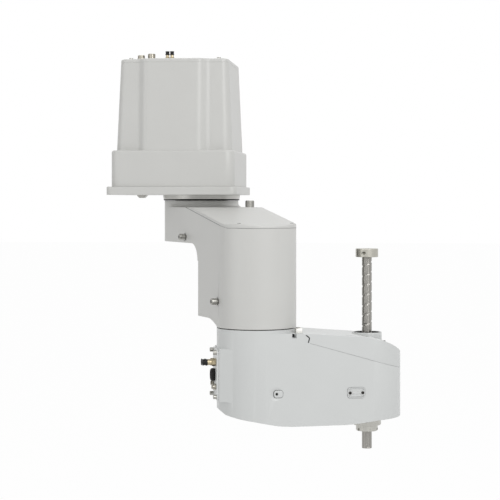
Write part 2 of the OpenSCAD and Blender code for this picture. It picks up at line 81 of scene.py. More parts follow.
# Z of a face's way out, below which the face counts as upright, above which it counts as
# looking up, and above which it counts as flat on top.
UPRIGHT, LOOKS_UP, FLAT = 0.3, 0.5, 0.7
Ring = list[tuple[float, float]]
Spot = tuple[Vector, Vector]
Rule = Callable[[Vector, Vector, Vector], float]
Solid = bmesh.types.BMesh
Tree = bpy.types.NodeTree
Node = bpy.types.Node
Socket = bpy.types.NodeSocket


# ------------------------------------------------------------------ finishes

def linear(hex_colour: str) -> tuple[float, float, float, float]:
    """Turn an sRGB hex colour into linear values.

    Args:
        hex_colour: six digits after a hash sign.

    Returns:
        The colour as red, green, blue and alpha, linear.
    """
    parts = [int(hex_colour[i:i + 2], 16) / 255 for i in (1, 3, 5)]
    made = [p / 12.92 if p <= 0.04045 else ((p + 0.055) / 1.055) ** 2.4 for p in parts]
    return (made[0], made[1], made[2], 1.0)


def add(tree: Tree, kind: str, inputs: dict | None = None, **settings: object) -> Node:
    """Add a node with its settings, values and links.

    Args:
        tree: the node tree.
        kind: the node's type name.
        inputs: input name or number to a value, to the socket that feeds it, or to a node
            whose first output feeds it.
        settings: properties of the node.

    Returns:
        The node.
    """
    node = tree.nodes.new(kind)
    for name, value in settings.items():
        setattr(node, name, value)
    for key, value in (inputs or {}).items():
        source = value.outputs[0] if isinstance(value, Node) else value
        if isinstance(source, Socket):
            tree.links.new(source, node.inputs[key])
        else:
            node.inputs[key].default_value = source
    return node


@dataclass(frozen=True)
class Finish:
    """A surface finish: its slot in the record and its plain optical values.

    Args:
        slot: the record's material slot.
        colour: sRGB hex colour.
        roughness: mean roughness.
        metallic: 1 for bare metal.
        grain: size of the surface's texture, in millimetres.
        depth: height of that texture, in millimetres.
        made_as: the material's name, where the slot has more than one finish.
    """

    slot: str
    colour: str
    roughness: float
    metallic: float = 0.0
    grain: float = 1.0
    depth: float = 0.01
    made_as: str = ""
    # How far the texture moves the colour, as a share, and the roughness.
    spread: ClassVar[float] = 0.1
    gloss: ClassVar[float] = 0.06

    def texture(self, tree: Tree, place: Socket) -> Node:
        """Return the fine texture that raises the surface; each kind of finish has its own."""
        raise NotImplementedError

    def tone(self, tree: Tree, place: Socket, texture: Node) -> Node:
        """Return what moves colour and roughness, which is the texture if nothing else."""
        return texture

    def sockets(self) -> dict[str, float]:
        """Return plain values of the shader's own sockets."""
        return {}

    def material(self) -> bpy.types.Material:
        """Return the finish's material, made once."""
        name = (self.made_as or self.slot) + "_finish"
        made = bpy.data.materials.get(name)
        if made:
            return made
        made = bpy.data.materials.new(name)
        made.use_nodes = True
        tree = made.node_tree
        tree.nodes.clear()
        place = add(tree, "ShaderNodeTexCoord").outputs["Object"]
        texture = self.texture(tree, place)
        tone = self.tone(tree, place, texture)
        red, green, blue, _ = linear(self.colour)
        dark, light = (tuple(min(1.0, c * share) for c in (red, green, blue)) + (1.0,)
                       for share in (1 - self.spread, 1 + self.spread))
        colour = add(tree, "ShaderNodeMix", {"Factor": tone, 6: dark, 7: light}, data_type="RGBA")
        rough = add(tree, "ShaderNodeMapRange", {
            "Value": tone, "To Min": self.roughness - self.gloss, "To Max": self.roughness + self.gloss})
        bump = add(tree, "ShaderNodeBump", {
            "Height": texture, "Distance": self.depth * MM, "Strength": 1.0})
        shader = add(tree, "ShaderNodeBsdfPrincipled", {
            "Base Color": colour.outputs[2], "Roughness": rough, "Normal": bump,
            "Metallic": self.metallic, **self.sockets()})
        add(tree, "ShaderNodeOutputMaterial", {"Surface": shader})
        return made


@dataclass(frozen=True)
class PowderCoat(Finish):
    """Baked powder coat on cast aluminium: semi-gloss, with a very fine orange peel."""

    spread: ClassVar[float] = 0.02
    gloss: ClassVar[float] = 0.03
    cloud: ClassVar[float] = 60.0

    def texture(self, tree: Tree, place: Socket) -> Node:
        """Return the orange peel."""
        return add(tree, "ShaderNodeTexNoise", {
            "Vector": place, "Scale": 1 / (self.grain * MM), "Detail": 2.0})

    def tone(self, tree: Tree, place: Socket, texture: Node) -> Node:
        """Return a faint wide cloud, as a coat of uneven thickness has."""
        return add(tree, "ShaderNodeTexNoise", {
            "Vector": place, "Scale": 1 / (self.cloud * MM), "Detail": 3.0})

    def sockets(self) -> dict[str, float]:
        """Return the values of paint with a thin clear skin."""
        return {"IOR": 1.5, "Coat Weight": 0.12, "Coat Roughness": 0.25}


@dataclass(frozen=True)
class TurnedMetal(Finish):
    """Metal turned on a lathe or ground: fine rings round its upright axis.

    Real tool marks are about a tenth of a millimetre wide; they are drawn coarser, to show.

    Args:
        axis: a point on the axis that the rings run round.
        brushed: how far highlights stretch across the rings.
    """

    axis: tuple[float, float] = (0.0, 0.0)
    brushed: float = 0.4
    spread: ClassVar[float] = 0.12

    def texture(self, tree: Tree, place: Socket) -> Node:
        """Return tool marks that run round the axis.

        Args:
            tree: the node tree.
            place: the coordinates.

        Returns:
            The texture's node.
        """
        centred = add(tree, "ShaderNodeMapping", {
            "Vector": place, "Location": (-self.axis[0], -self.axis[1], 0.0)})
        stretched = add(tree, "ShaderNodeMapping", {"Vector": centred, "Scale": (0.02, 0.02, 1.0)})
        return add(tree, "ShaderNodeTexNoise", {
            "Vector": stretched, "Scale": 1 / (self.grain * MM), "Detail": 2.0})

    def sockets(self) -> dict[str, float]:
        """Return the stretch of the highlights, a quarter turn from the tool marks."""
        return {"Anisotropic": self.brushed, "Anisotropic Rotation": 0.25}


@dataclass(frozen=True)
class Plated(Finish):
    """Plated, blackened or milled metal: an even sheen with a faint mottle.

    The mottle is drawn coarser than the real one, so that it shows.
    """

    def texture(self, tree: Tree, place: Socket) -> Node:
        """Return the mottle that the bath or the cutter leaves."""
        return add(tree, "ShaderNodeTexNoise", {
            "Vector": place, "Scale": 1 / (self.grain * MM), "Detail": 4.0})


@dataclass(frozen=True)
class MouldedPlastic(Finish):
    """Moulded black plastic with a spark-eroded grain, so it is matt but not dead.

    The grain is drawn coarser than the real one, so that it shows.
    """

    spread: ClassVar[float] = 0.2
    gloss: ClassVar[float] = 0.05

    def texture(self, tree: Tree, place: Socket) -> Node:
        """Return the moulded grain."""
        return add(tree, "ShaderNodeTexVoronoi", {"Vector": place, "Scale": 1 / (self.grain * MM)})

    def sockets(self) -> dict[str, float]:
        """Return the values of a filled plastic, whose grain dulls its gloss."""
        return {"IOR": 1.49, "Specular IOR Level": 0.3}


# ------------------------------------------------------------------ meshes

def rounded_ring(corners: Sequence[tuple[float, float, float]], steps: int = 8) -> Ring:
    """Return a closed outline with round corners.

    Args:
        corners: X, Y and radius of each corner, in order round the outline.
        steps: pieces of each arc.

    Returns:
        The outline's points.
    """
    ring: Ring = []
    for i, (x, y, r) in enumerate(corners):
        here = Vector((x, y))
        back = (Vector(corners[i - 1][:2]) - here).normalized()
        ahead = (Vector(corners[(i + 1) % len(corners)][:2]) - here).normalized()
        half = back.angle(ahead) / 2
        reach = r / math.tan(half)
        centre = here + (back + ahead).normalized() * (r / math.sin(half))
        start = here + back * reach - centre
        turn = start.angle_signed(here + ahead * reach - centre)
        for k in range(steps + 1):
            a = -turn * k / steps
            c, s = math.cos(a), math.sin(a)
            ring.append((centre.x + start.x * c - start.y * s, centre.y + start.x * s + start.y * c))
    return ring


def rectangle(x0: float, x1: float, y0: float, y1: float, radius: float, steps: int = 8) -> Ring:
    """Return a rectangle with round corners, counter-clockwise."""
    return rounded_ring([(x1, y0, radius), (x1, y1, radius), (x0, y1, radius), (x0, y0, radius)], steps)


def inset_ring(ring: Ring, distance: float) -> Ring:
    """Return an outline moved inwards.

    Args:
        ring: the outline, counter-clockwise.
        distance: how far it moves.

    Returns:
        The new outline's points.
    """
    made: Ring = []
    for i, (x, y) in enumerate(ring):
        along = (Vector(ring[(i + 1) % len(ring)]) - Vector(ring[i - 1])).normalized()
        made.append((x - along.y * distance, y + along.x * distance))
    return made


def at_height(ring: Ring, z: float) -> list[Vector]:
    """Return an outline's points at a height."""
    return [Vector((x, y, z)) for x, y in ring]


def circle(radius: float, z: float, count: int = 6) -> list[Vector]:
    """Return evenly spaced points round the Z axis at a height."""
    turns = [2 * math.pi * k / count for k in range(count)]
    return [Vector((radius * math.cos(a), radius * math.sin(a), z)) for a in turns]


def skin(rings: Sequence[Sequence[Vector]], looped: bool = False) -> Solid:
    """Join closed rings of equal length into a solid.

    Args:
        rings: the rings from one end to the other.
        looped: whether the last ring joins the first; otherwise the ends are flat.

    Returns:
        The mesh, its faces pointing outwards.
    """
    bm = bmesh.new()
    made = [[bm.verts.new(p) for p in ring] for ring in rings]
    for low, high in zip(made, made[1:] + (made[:1] if looped else [])):
        for i in range(len(low)):
            j = (i + 1) % len(low)
            bm.faces.new((low[i], low[j], high[j], high[i]))
    if not looped:
        bm.faces.new(list(reversed(made[0])))
        bm.faces.new(made[-1])
        bmesh.ops.remove_doubles(bm, verts=bm.verts, dist=1e-6)
    bmesh.ops.recalc_face_normals(bm, faces=bm.faces)
    return bm


def brick(x0: float, x1: float, half: float, low: float, high: float) -> Solid:
    """Return a plain block that is centred on the X axis."""
    ring = [(x0, -half), (x1, -half), (x1, half), (x0, half)]
    return skin([at_height(ring, z) for z in (low, high)])


def slab(ring: Ring, low: float, high: float, low_edge: float, high_edge: float) -> Solid:
    """Return a plate with rounded edges.

    Args:
        ring: the plate's outline, counter-clockwise.
        low: height of its lower face.
        high: height of its upper face.
        low_edge: rounding of the lower edge.
        high_edge: rounding of the upper edge.

    Returns:
        The mesh.
    """
    arc = [(1 - math.sin(math.radians(a)), 1 - math.cos(math.radians(a))) for a in (0, 30, 60, 90)]
    rows = [(low_edge * across, low + low_edge * along) for across, along in arc]
    rows += [(high_edge * along, high - high_edge * across) for across, along in arc]
    return skin([at_height(inset_ring(ring, shrink), z) for shrink, z in rows])


def hexagon(across: float, low: float, high: float, edge: float) -> Solid:
    """Return a hexagonal nut whose upper and lower corners are turned off.

    Args:
        across: width over its flats.
        low: height of its lower end.
        high: height of its upper end.
        edge: how far the corners are turned off.

    Returns:
        The mesh.
    """
    radius = across / math.sqrt(3)
    rows = [(radius - edge, low), (radius, low + edge / 2), (radius, high - edge / 2),
            (radius - edge, high)]
    return skin([circle(r, z) for r, z in rows])


def lathe(profile: Sequence[tuple[float, float]], steps: int = 64, unit: float = 1.0) -> Solid:
    """Turn a profile of radius and height round the Z axis.

    Args:
        profile: the points from one end to the other; a closed ring starts and ends alike.
        steps: facets round the axis.
        unit: what the profile's numbers are in, in metres.

    Returns:
        The mesh, its faces pointing outwards.
    """
    bm = bmesh.new()
    closed = profile[0] == profile[-1]
    rows = []
    for r, z in (profile[:-1] if closed else profile):
        points = circle(r * unit, z * unit, steps) if r > 0 else [Vector((0.0, 0.0, z * unit))]
        rows.append([bm.verts.new(p) for p in points])
    for low, high in zip(rows, rows[1:] + (rows[:1] if closed else [])):
        for k in range(steps):
            n = (k + 1) % steps
            loop = [low[k % len(low)], low[n % len(low)], high[n % len(high)], high[k % len(high)]]
            corners = list(dict.fromkeys(loop))
            if len(corners) > 2:
                bm.faces.new(corners)
    for row in () if closed else (rows[0], rows[-1]):
        if len(row) > 2:
            bm.faces.new(row)
    bmesh.ops.recalc_face_normals(bm, faces=bm.faces)
    return bm


def turned(radius: float, low: float, high: float, edge: float = 0.5 * MM,
           hole: float = 0.0) -> list[tuple[float, float]]:
    """Return the profile of a turned disc or ring with small chamfers.

    Args:
        radius: outer radius.
        low: height of the lower end.
        high: height of the upper end.
        edge: size of the chamfers.
        hole: radius of a hole through it, or 0.

    Returns:
        Points of radius and height for lathe().
    """
    outside = [(radius - edge, low), (radius, low + edge), (radius, high - edge), (radius - edge, high)]
    if not hole:
        return [(0, low), *outside, (0, high)]
    return [(hole, low + edge), (hole + edge, low), *outside, (hole + edge, high), (hole, high - edge),
            (hole, low + edge)]


def push_ring(radius: float, low: float, high: float) -> Solid:
    """Return the release ring of a push-in fitting, with its waist, flange and open mouth.

    Args:
        radius: radius of its flange.
        low: height of its lower end.
        high: height of its upper end.

    Returns:
        The mesh.
    """
    waist, mouth = radius * 0.86, radius * 0.45
    profile = [(0, low), (radius, low), (radius, low + 0.30 * (high - low)),
               (waist, low + 0.42 * (high - low)), (waist, high - 2.2 * MM), (radius, high - 1.6 * MM),
               (radius, high - 0.5 * MM), (radius - 0.6 * MM, high), (mouth + 0.6 * MM, high),
               (mouth, high - 0.8 * MM), (mouth, high - 4 * MM), (0, high - 4 * MM)]
    return lathe(profile, 48)


def moved(bm: Solid, at: Vector, facing: Vector = UP, turn: float = 0.0) -> Solid:
    """Stand a mesh that was made along Z at a point, facing a direction.

    Args:
        bm: the mesh.
        at: the point.
        facing: where its Z axis goes.
        turn: turn about its own axis first, in radians.

    Returns:
        The same mesh.
    """
    way = UP.rotation_difference(facing).to_matrix().to_4x4()
    bm.transform(Matrix.Translation(at) @ way @ Matrix.Rotation(turn, 4, "Z"))
    return bm


def joined(parts: Sequence[Solid]) -> Solid:
    """Put several meshes into one.

    Args:
        parts: the meshes; they are used up.

    Returns:
        The joined mesh.
    """
    made = bmesh.new()
    for part in parts:
        mesh = bpy.data.meshes.new("part")
        part.to_mesh(mesh)
        part.free()
        made.from_mesh(mesh)
        bpy.data.meshes.remove(mesh)
    return made


def bored(bm: Solid, cutters: Sequence[Solid]) -> Solid:
    """Cut solids out of a mesh; all are used up.

    Args:
        bm: the mesh.
        cutters: the solids to cut out.

    Returns:
        The cut mesh.
    """
    objects = []
    for part in (bm, *cutters):
        mesh = bpy.data.meshes.new("cut")
        part.to_mesh(mesh)
        part.free()
        objects.append(bpy.data.objects.new("cut", mesh))
        bpy.context.scene.collection.objects.link(objects[-1])
    for cutter in objects[1:]:
        modifier = objects[0].modifiers.new("cut", "BOOLEAN")
        modifier.operation = "DIFFERENCE"
        modifier.solver = "EXACT"
        modifier.object = cutter
    graph = bpy.context.evaluated_depsgraph_get()
    made = bmesh.new()
    made.from_mesh(bpy.data.meshes.new_from_object(objects[0].evaluated_get(graph)))
    for old in objects:
        bpy.data.objects.remove(old)
    return made


def soften(bm: Solid, rule: Rule, segments: int = 3, sharp: float = 28.0) -> None:
    """Round a mesh's sharp edges by the radius that a rule gives for each.

    Args:
        bm: the mesh.
        rule: function of an edge's middle and its two faces' normals that gives its radius.
        segments: facets of each rounding.
        sharp: edges flatter than this many degrees are left alone.
    """
    limit = math.radians(sharp)

    def radius_of(edge: bmesh.types.BMEdge) -> float:
        """Return the radius wanted for an edge, or 0.

        Args:
            edge: the edge.

        Returns:
            The radius.
        """
        if len(edge.link_faces) != 2 or edge.calc_face_angle(0.0) < limit:
            return 0.0
        middle = (edge.verts[0].co + edge.verts[1].co) / 2
        return rule(middle, edge.link_faces[0].normal, edge.link_faces[1].normal)

    bm.normal_update()
    for radius in sorted({radius_of(edge) for edge in bm.edges} - {0.0}, reverse=True):
        bm.normal_update()
        chosen = [e for e in bm.edges if abs(radius_of(e) - radius) < 1e-9]
        if chosen:
            bmesh.ops.bevel(bm, geom=chosen, offset=radius, offset_type="OFFSET", segments=segments,
                            profile=0.5, affect="EDGES", clamp_overlap=True)


def lead_shading(mesh: bpy.types.Mesh) -> None:
    """Let large flat faces keep their own shading up to the roundings beside them.

    Args:
        mesh: the mesh; a face leads its neighbours from 20 square centimetres.
    """
    large, crease = 0.002, math.cos(math.radians(CREASE))
    leaders: dict[int, list[Vector]] = {}
    for face in mesh.polygons:
        if face.area >= large:
            for v in face.vertices:
                leaders.setdefault(v, []).append(face.normal.copy())
    normals = [corner.vector.copy() for corner in mesh.corner_normals]
    for face in mesh.polygons:
        for loop in face.loop_indices:
            near = [normal for normal in leaders.get(mesh.loops[loop].vertex_index, [])
                    if normal.dot(face.normal) > crease]
            if face.area >= large:
                normals[loop] = face.normal.copy()
            elif near:
                normals[loop] = max(near, key=face.normal.dot)
    mesh.normals_split_custom_set([tuple(normal) for normal in normals])


def belt(near: float, far: float, length: float, start: float, tip: float) -> list[Spot]:
    """Return points round the plan of a tapered arm with a round end, and the way out at each.

    Args:
        near: distance of the walls from the first axis.
        far: radius of the round end, about the second axis.
        length: distance between the axes.
        start: distance from the first axis at which the points begin and end.
        tip: the furthest that the round end reaches.

    Returns:
        Points from the wall at negative Y, round the end, to the other wall.
    """
    lean = math.asin((near - far) / length)
    wall = Vector((math.sin(lean), math.cos(lean), 0.0))
    along = Vector((math.cos(lean), -math.sin(lean), 0.0))
    half = [(along * (start + (length - start) * k / 12) + wall * near, wall) for k in range(12)]
    for k in range(25):
        a = (math.pi / 2 - lean) * (1 - k / 24)
        way = Vector((math.cos(a), math.sin(a), 0.0))
        point = Vector((length, 0.0, 0.0)) + way * far
        half.append((Vector((min(point.x, tip), point.y, 0.0)), way))
    mirrored = [(Vector((p.x, -p.y, 0.0)), Vector((w.x, -w.y, 0.0))) for p, w in half]
    return mirrored + list(reversed(half[:-1]))


# ------------------------------------------------------------------ geometry nodes

def new_tree(name: str, sizes: dict[str, float]) -> tuple[Tree, Node]:
    """Make a Geometry Nodes tree with a geometry in and out, a finish and named sizes.

    Args:
        name: the tree's name.
        sizes: name and default of each size; a whole number makes an integer input.

    Returns:
        The tree and its group input node.
    """
    tree = bpy.data.node_groups.new(name, "GeometryNodeTree")
    tree.interface.new_socket("Geometry", in_out="INPUT", socket_type="NodeSocketGeometry")
    tree.interface.new_socket("Finish", in_out="INPUT", socket_type="NodeSocketMaterial")
    for label, value in sizes.items():
        kind = "NodeSocketInt" if isinstance(value, int) else "NodeSocketFloat"
        tree.interface.new_socket(label, in_out="INPUT", socket_type=kind).default_value = value
    tree.interface.new_socket("Geometry", in_out="OUTPUT", socket_type="NodeSocketGeometry")
    return tree, tree.nodes.new("NodeGroupInput")


def close_tree(tree: Tree, source: Node, shape: Node) -> None:
    """End a tree in Realize Instances and Set Material.

    Args:
        tree: the tree.
        source: its group input node.
        shape: the node whose geometry it gives.
    """
    real = add(tree, "GeometryNodeRealizeInstances", {"Geometry": shape})
    coloured = add(tree, "GeometryNodeSetMaterial", {
        "Geometry": real, "Material": source.outputs["Finish"]})
    add(tree, "NodeGroupOutput", {"Geometry": coloured})


def stand_on_points(tree: Tree, source: Node, shape: Node) -> None:
    """Set a shape on every point, along the point's stored facing, and end the tree.

    Args:
        tree: the tree.
        source: its group input node.
        shape: the node that gives the shape.
    """
    facing = add(tree, "GeometryNodeInputNamedAttribute", {"Name": "facing"}, data_type="FLOAT_VECTOR")
    turn = add(tree, "FunctionNodeAlignRotationToVector", {"Vector": facing.outputs["Attribute"]},
               axis="Z")
    close_tree(tree, source, add(tree, "GeometryNodeInstanceOnPoints", {
        "Points": source.outputs["Geometry"], "Instance": shape, "Rotation": turn}))


@cache
def screw_tree() -> Tree:
    """Return the tree that sets a socket-head screw on each point, along its stored facing."""
    tree, source = new_tree("socket_screws", {
        "Head Radius": 0.004, "Head Height": 0.004, "Socket Radius": 0.002})
    radius, height, key = (source.outputs[n] for n in ("Head Radius", "Head Height", "Socket Radius"))
    # A head, a narrower crown that stands a little higher, whose hull with the head has a
    # chamfer, and the socket's cutter. Each row gives facets, radius and lift.
    crown_radius = add(tree, "ShaderNodeMath", {0: radius, 1: 0.88}, operation="MULTIPLY")
    parts = []
    for count, wide, lift in ((32, radius, 0.0), (32, crown_radius, 0.06), (6, key, 0.55)):
        body = add(tree, "GeometryNodeMeshCylinder", {
            "Vertices": count, "Radius": wide, "Depth": height})
        rise = add(tree, "ShaderNodeMath", {0: height, 1: lift}, operation="MULTIPLY")
        parts.append(add(tree, "GeometryNodeTransform", {
            "Geometry": body, "Translation": add(tree, "ShaderNodeCombineXYZ", {"Z": rise})}))
    both = add(tree, "GeometryNodeJoinGeometry")
    for part in parts[:2]:
        tree.links.new(part.outputs[0], both.inputs["Geometry"])
    hull = add(tree, "GeometryNodeConvexHull", {"Geometry": both})
    cut = add(tree, "GeometryNodeMeshBoolean", {"Mesh 1": hull, "Mesh 2": parts[2]})
    seat = add(tree, "ShaderNodeMath", {0: height, 1: 0.5}, operation="MULTIPLY")
    stand_on_points(tree, source, add(tree, "GeometryNodeTransform", {
        "Geometry": cut, "Translation": add(tree, "ShaderNodeCombineXYZ", {"Z": seat})}))
    return tree


@cache
def knurl_tree() -> Tree:
    """Return the tree that rings each point with upright ribs, along its stored facing."""
    tree, source = new_tree("knurled_rings", {
        "Ribs": 24, "Radius": 0.006, "Rib Width": 0.001, "Length": 0.005})
    width = source.outputs["Rib Width"]
    size = add(tree, "ShaderNodeCombineXYZ", {"X": width, "Y": width, "Z": source.outputs["Length"]})
    rib = add(tree, "GeometryNodeMeshCube", {"Size": size})
    spots = add(tree, "GeometryNodeMeshCircle", {
        "Vertices": source.outputs["Ribs"], "Radius": source.outputs["Radius"]})
    outwards = add(tree, "GeometryNodeInputPosition")
    aim = add(tree, "FunctionNodeAlignRotationToVector", {"Vector": outwards}, axis="X")
    stand_on_points(tree, source, add(tree, "GeometryNodeInstanceOnPoints", {
        "Points": spots, "Instance": rib, "Rotation": aim}))
    return tree


def shaft_tree() -> Tree:
    """Return the tree that makes a hollow shaft with a screw groove and straight grooves."""
    tree, source = new_tree("grooved_shaft", {
        "Radius": 0.01, "Bore": 0.0055, "Bottom": 0.0, "Top": 0.4, "Groove From": 0.1, "Lead": 0.02,
        "Groove Width": 0.005, "Groove Depth": 0.001})
    known = dict(source.outputs.items())
    where = add(tree, "ShaderNodeSeparateXYZ", {"Vector": add(tree, "GeometryNodeInputPosition")})
    known.update(where.outputs.items())
    # The share above the whole number turns one of the three straight grooves to the arm's
    # near side, and both phases stay above zero. The grooves stop short of both ends.
    straight_start, spiral_start, plain_foot, plain_head, past_ends = 10.197, 100.0, 0.0025, 0.0005, 0.01
    # Each row names a value and gives the operation and the terms that it comes from. A phase
    # grows by 1 a period, and a groove is 0 outside and 1 at its middle.
    rows = [
        ("span", "SUBTRACT", "Top", "Bottom"), ("ends", "ADD", "Top", "Bottom"),
        ("middle", "MULTIPLY", "ends", 0.5), ("core length", "ADD", "span", past_ends),
        ("angle", "ARCTAN2", "Y", "X"), ("turn", "DIVIDE", "angle", 2 * math.pi),
        ("leads", "DIVIDE", "Z", "Lead"), ("climb", "SUBTRACT", "leads", "turn"),
        ("spiral phase", "ADD", "climb", spiral_start), ("thirds", "MULTIPLY", "turn", 3.0),
        ("straight phase", "ADD", "thirds", straight_start),
        ("third", "MULTIPLY", "Radius", 2 * math.pi / 3),
        ("half width", "MULTIPLY", "Groove Width", 0.5)]
    for groove, period in (("spiral", "Lead"), ("straight", "third")):
        rows += [
            ("part", "FRACT", groove + " phase"), ("from middle", "SUBTRACT", "part", 0.5),
            ("off", "ABSOLUTE", "from middle"), ("distance", "MULTIPLY", "off", period),
            ("share", "DIVIDE", "distance", "half width"), ("square", "MULTIPLY", "share", "share"),
            ("left", "SUBTRACT", 1.0, "square"), ("inside", "MAXIMUM", "left", 0.0),
            (groove, "SQRT", "inside")]
    rows += [
        ("threaded", "GREATER_THAN", "Z", "Groove From"), ("thread", "MULTIPLY", "spiral", "threaded"),
        ("deepest", "MAXIMUM", "thread", "straight"), ("deep", "MULTIPLY", "deepest", "Groove Depth"),
        ("foot", "ADD", "Bottom", plain_foot), ("above", "GREATER_THAN", "Z", "foot"),
        ("head", "SUBTRACT", "Top", plain_head), ("below", "LESS_THAN", "Z", "head"),
        ("between", "MULTIPLY", "above", "below"), ("cut", "MULTIPLY", "deep", "between"),
        ("inwards", "MULTIPLY", "cut", -1.0)]
    for name, operation, *terms in rows:
        known[name] = add(tree, "ShaderNodeMath", {i: known.get(t, t) for i, t in enumerate(terms)},
                          operation=operation)
    centre = add(tree, "ShaderNodeCombineXYZ", {"Z": known["middle"]})
    body = add(tree, "GeometryNodeMeshCylinder", {
        "Vertices": 72, "Side Segments": 420, "Radius": known["Radius"], "Depth": known["span"]})
    placed = add(tree, "GeometryNodeTransform", {"Geometry": body, "Translation": centre})
    outward = add(tree, "ShaderNodeCombineXYZ", {"X": known["X"], "Y": known["Y"]})
    unit = add(tree, "ShaderNodeVectorMath", {0: outward}, operation="NORMALIZE")
    shift = add(tree, "ShaderNodeVectorMath", {0: unit, "Scale": known["inwards"]}, operation="SCALE")
    grooved = add(tree, "GeometryNodeSetPosition", {"Geometry": placed, "Offset": shift})
    core = add(tree, "GeometryNodeMeshCylinder", {
        "Vertices": 48, "Radius": known["Bore"], "Depth": known["core length"]})
    core_placed = add(tree, "GeometryNodeTransform", {"Geometry": core, "Translation": centre})
    close_tree(tree, source, add(tree, "GeometryNodeMeshBoolean", {
        "Mesh 1": grooved, "Mesh 2": core_placed}))
    return tree


# ------------------------------------------------------------------ places

@dataclass(frozen=True)
class Place:
    """A local frame: an origin and a heading about the vertical.

    Args:
        origin: where the frame's zero lies, in metres.
        heading: turn of its X axis from the world's, in radians.
    """

    origin: Vector
    heading: float = 0.0

    def matrix(self) -> Matrix:
        """Return the frame as a matrix from local to world."""
        return Matrix.Translation(self.origin) @ Matrix.Rotation(self.heading, 4, "Z")

    def local(self, point: Vector) -> Vector:
        """Return a world point in this frame."""
        return self.matrix().inverted() @ point


def joint_point(name: str) -> Vector:
    """Return the point on a joint's axis that the record gives."""
    return Vector(next(j for j in frame["joints"] if j["name"] == name)["pos_m"])


def heading_between(start: Vector, end: Vector) -> float:
    """Return the heading of the line from start to end, in radians."""
    return math.atan2(end.y - start.y, end.x - start.x)


SHOULDER_POINT = joint_point("shoulder")
ELBOW_POINT = joint_point("elbow")
SPINDLE_POINT = joint_point("tool_turn")
SPINDLE_AXIS = (SPINDLE_POINT.x, SPINDLE_POINT.y)
OUTER_HEADING = heading_between(ELBOW_POINT, SPINDLE_POINT)
AT_BASE = Place(Vector((0.0, 0.0, 0.0)))
AT_SHOULDER = Place(SHOULDER_POINT, heading_between(SHOULDER_POINT, ELBOW_POINT))
AT_ELBOW = Place(ELBOW_POINT, OUTER_HEADING)
AT_SPINDLE = Place(Vector((*SPINDLE_AXIS, ELBOW_POINT.z)), OUTER_HEADING)


def heights(node: str) -> tuple[float, float]:
    """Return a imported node's lowest and highest points, from the seam at the elbow."""
    low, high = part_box(node)
    return low[2] - ELBOW_POINT.z, high[2] - ELBOW_POINT.z


class Body(Enum):
    """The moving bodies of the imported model."""

    BASE = "base"
    INNER = "inner_arm"
    OUTER = "outer_arm"
    NUT = "spline_nut"
    SPINDLE = "spindle"


# ------------------------------------------------------------------ the robot's finishes

# Semi-gloss powder coat: soft highlights, broken a little by a peel of about 1.4 mm.
WARM_GREY = PowderCoat("warm_grey_paint", "#cdcdca", 0.42, grain=1.4, depth=0.02)
COOL_GREY = PowderCoat("cool_grey_paint", "#d1d3d2", 0.36, grain=1.4, depth=0.015)
# Turned and ground steel: dark and bright bands that run along the axis.
BEARING = TurnedMetal("bearing_steel", "#bdbcb8", 0.34, 1.0, grain=0.8, depth=0.01)
GROUND = TurnedMetal("ground_steel", "#9a9893", 0.3, 1.0, grain=0.6, depth=0.006,
                     axis=SPINDLE_AXIS, brushed=0.9)
FLANGE = TurnedMetal("ground_steel", "#bdbcb6", 0.36, 1.0, grain=0.8, depth=0.01,
                     made_as="turned_flange", axis=SPINDLE_AXIS)
# Zinc-plated and blackened screws: a soft grey sheen, and one that is nearly black.
ZINC = Plated("zinc_plated_steel", "#a8a7a2", 0.36, 1.0, grain=0.7, depth=0.01)
OXIDE = Plated("zinc_plated_steel", "#4b4946", 0.42, 1.0, grain=0.7, depth=0.01,
               made_as="blackened_screw")
# Nickel plate and nickel-washed brass: clear, warm highlights.
NICKEL = Plated("nickel_plate", "#a5a197", 0.22, 1.0, grain=1.5, depth=0.005)
BRASS = Plated("brass_fitting", "#b3a78c", 0.28, 1.0, grain=1.2, depth=0.006)
# Aluminium, milled to a sheen or blasted to an even pale grey.
MILLED = Plated("milled_aluminium", "#b6b4ab", 0.34, 1.0, grain=0.5, depth=0.01)
BLASTED = Plated("milled_aluminium", "#dddcd8", 0.5, 1.0, grain=0.5, depth=0.02,
                 made_as="blasted_aluminium")
# Moulded black plastic: dull, with a grey edge where it catches a lamp.
BLACK = MouldedPlastic("black_plastic", "#0f0f10", 0.48, grain=0.6, depth=0.02)


# ------------------------------------------------------------------ pieces

def softened_copy(node: str, place: Place, rule: Rule, segments: int = 3, sharp: float = 28.0) -> Solid:
    """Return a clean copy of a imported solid, with flat faces made whole and edges rounded.

    Args:
        node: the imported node.
        place: the local frame.
        rule: function that gives each edge's radius, as for soften().
        segments: facets of each rounding.
        sharp: edges flatter than this many degrees are left alone.

    Returns:
        The mesh in the local frame.
    """
    bm = bmesh.new()
    bm.from_mesh(frame["nodes"][node].data)
    bm.transform(place.matrix().inverted())
    bmesh.ops.remove_doubles(bm, verts=bm.verts, dist=2e-6)
    bmesh.ops.dissolve_limit(bm, angle_limit=math.radians(0.4), verts=bm.verts, edges=bm.edges)
    soften(bm, rule, segments, sharp)
    return bm


@dataclass(frozen=True)
class Screw:
    """A socket-head screw.

    Args:
        head: radius of its head.
        height: height of its head.
        key: radius of its socket.
    """

    head: float
    height: float
    key: float


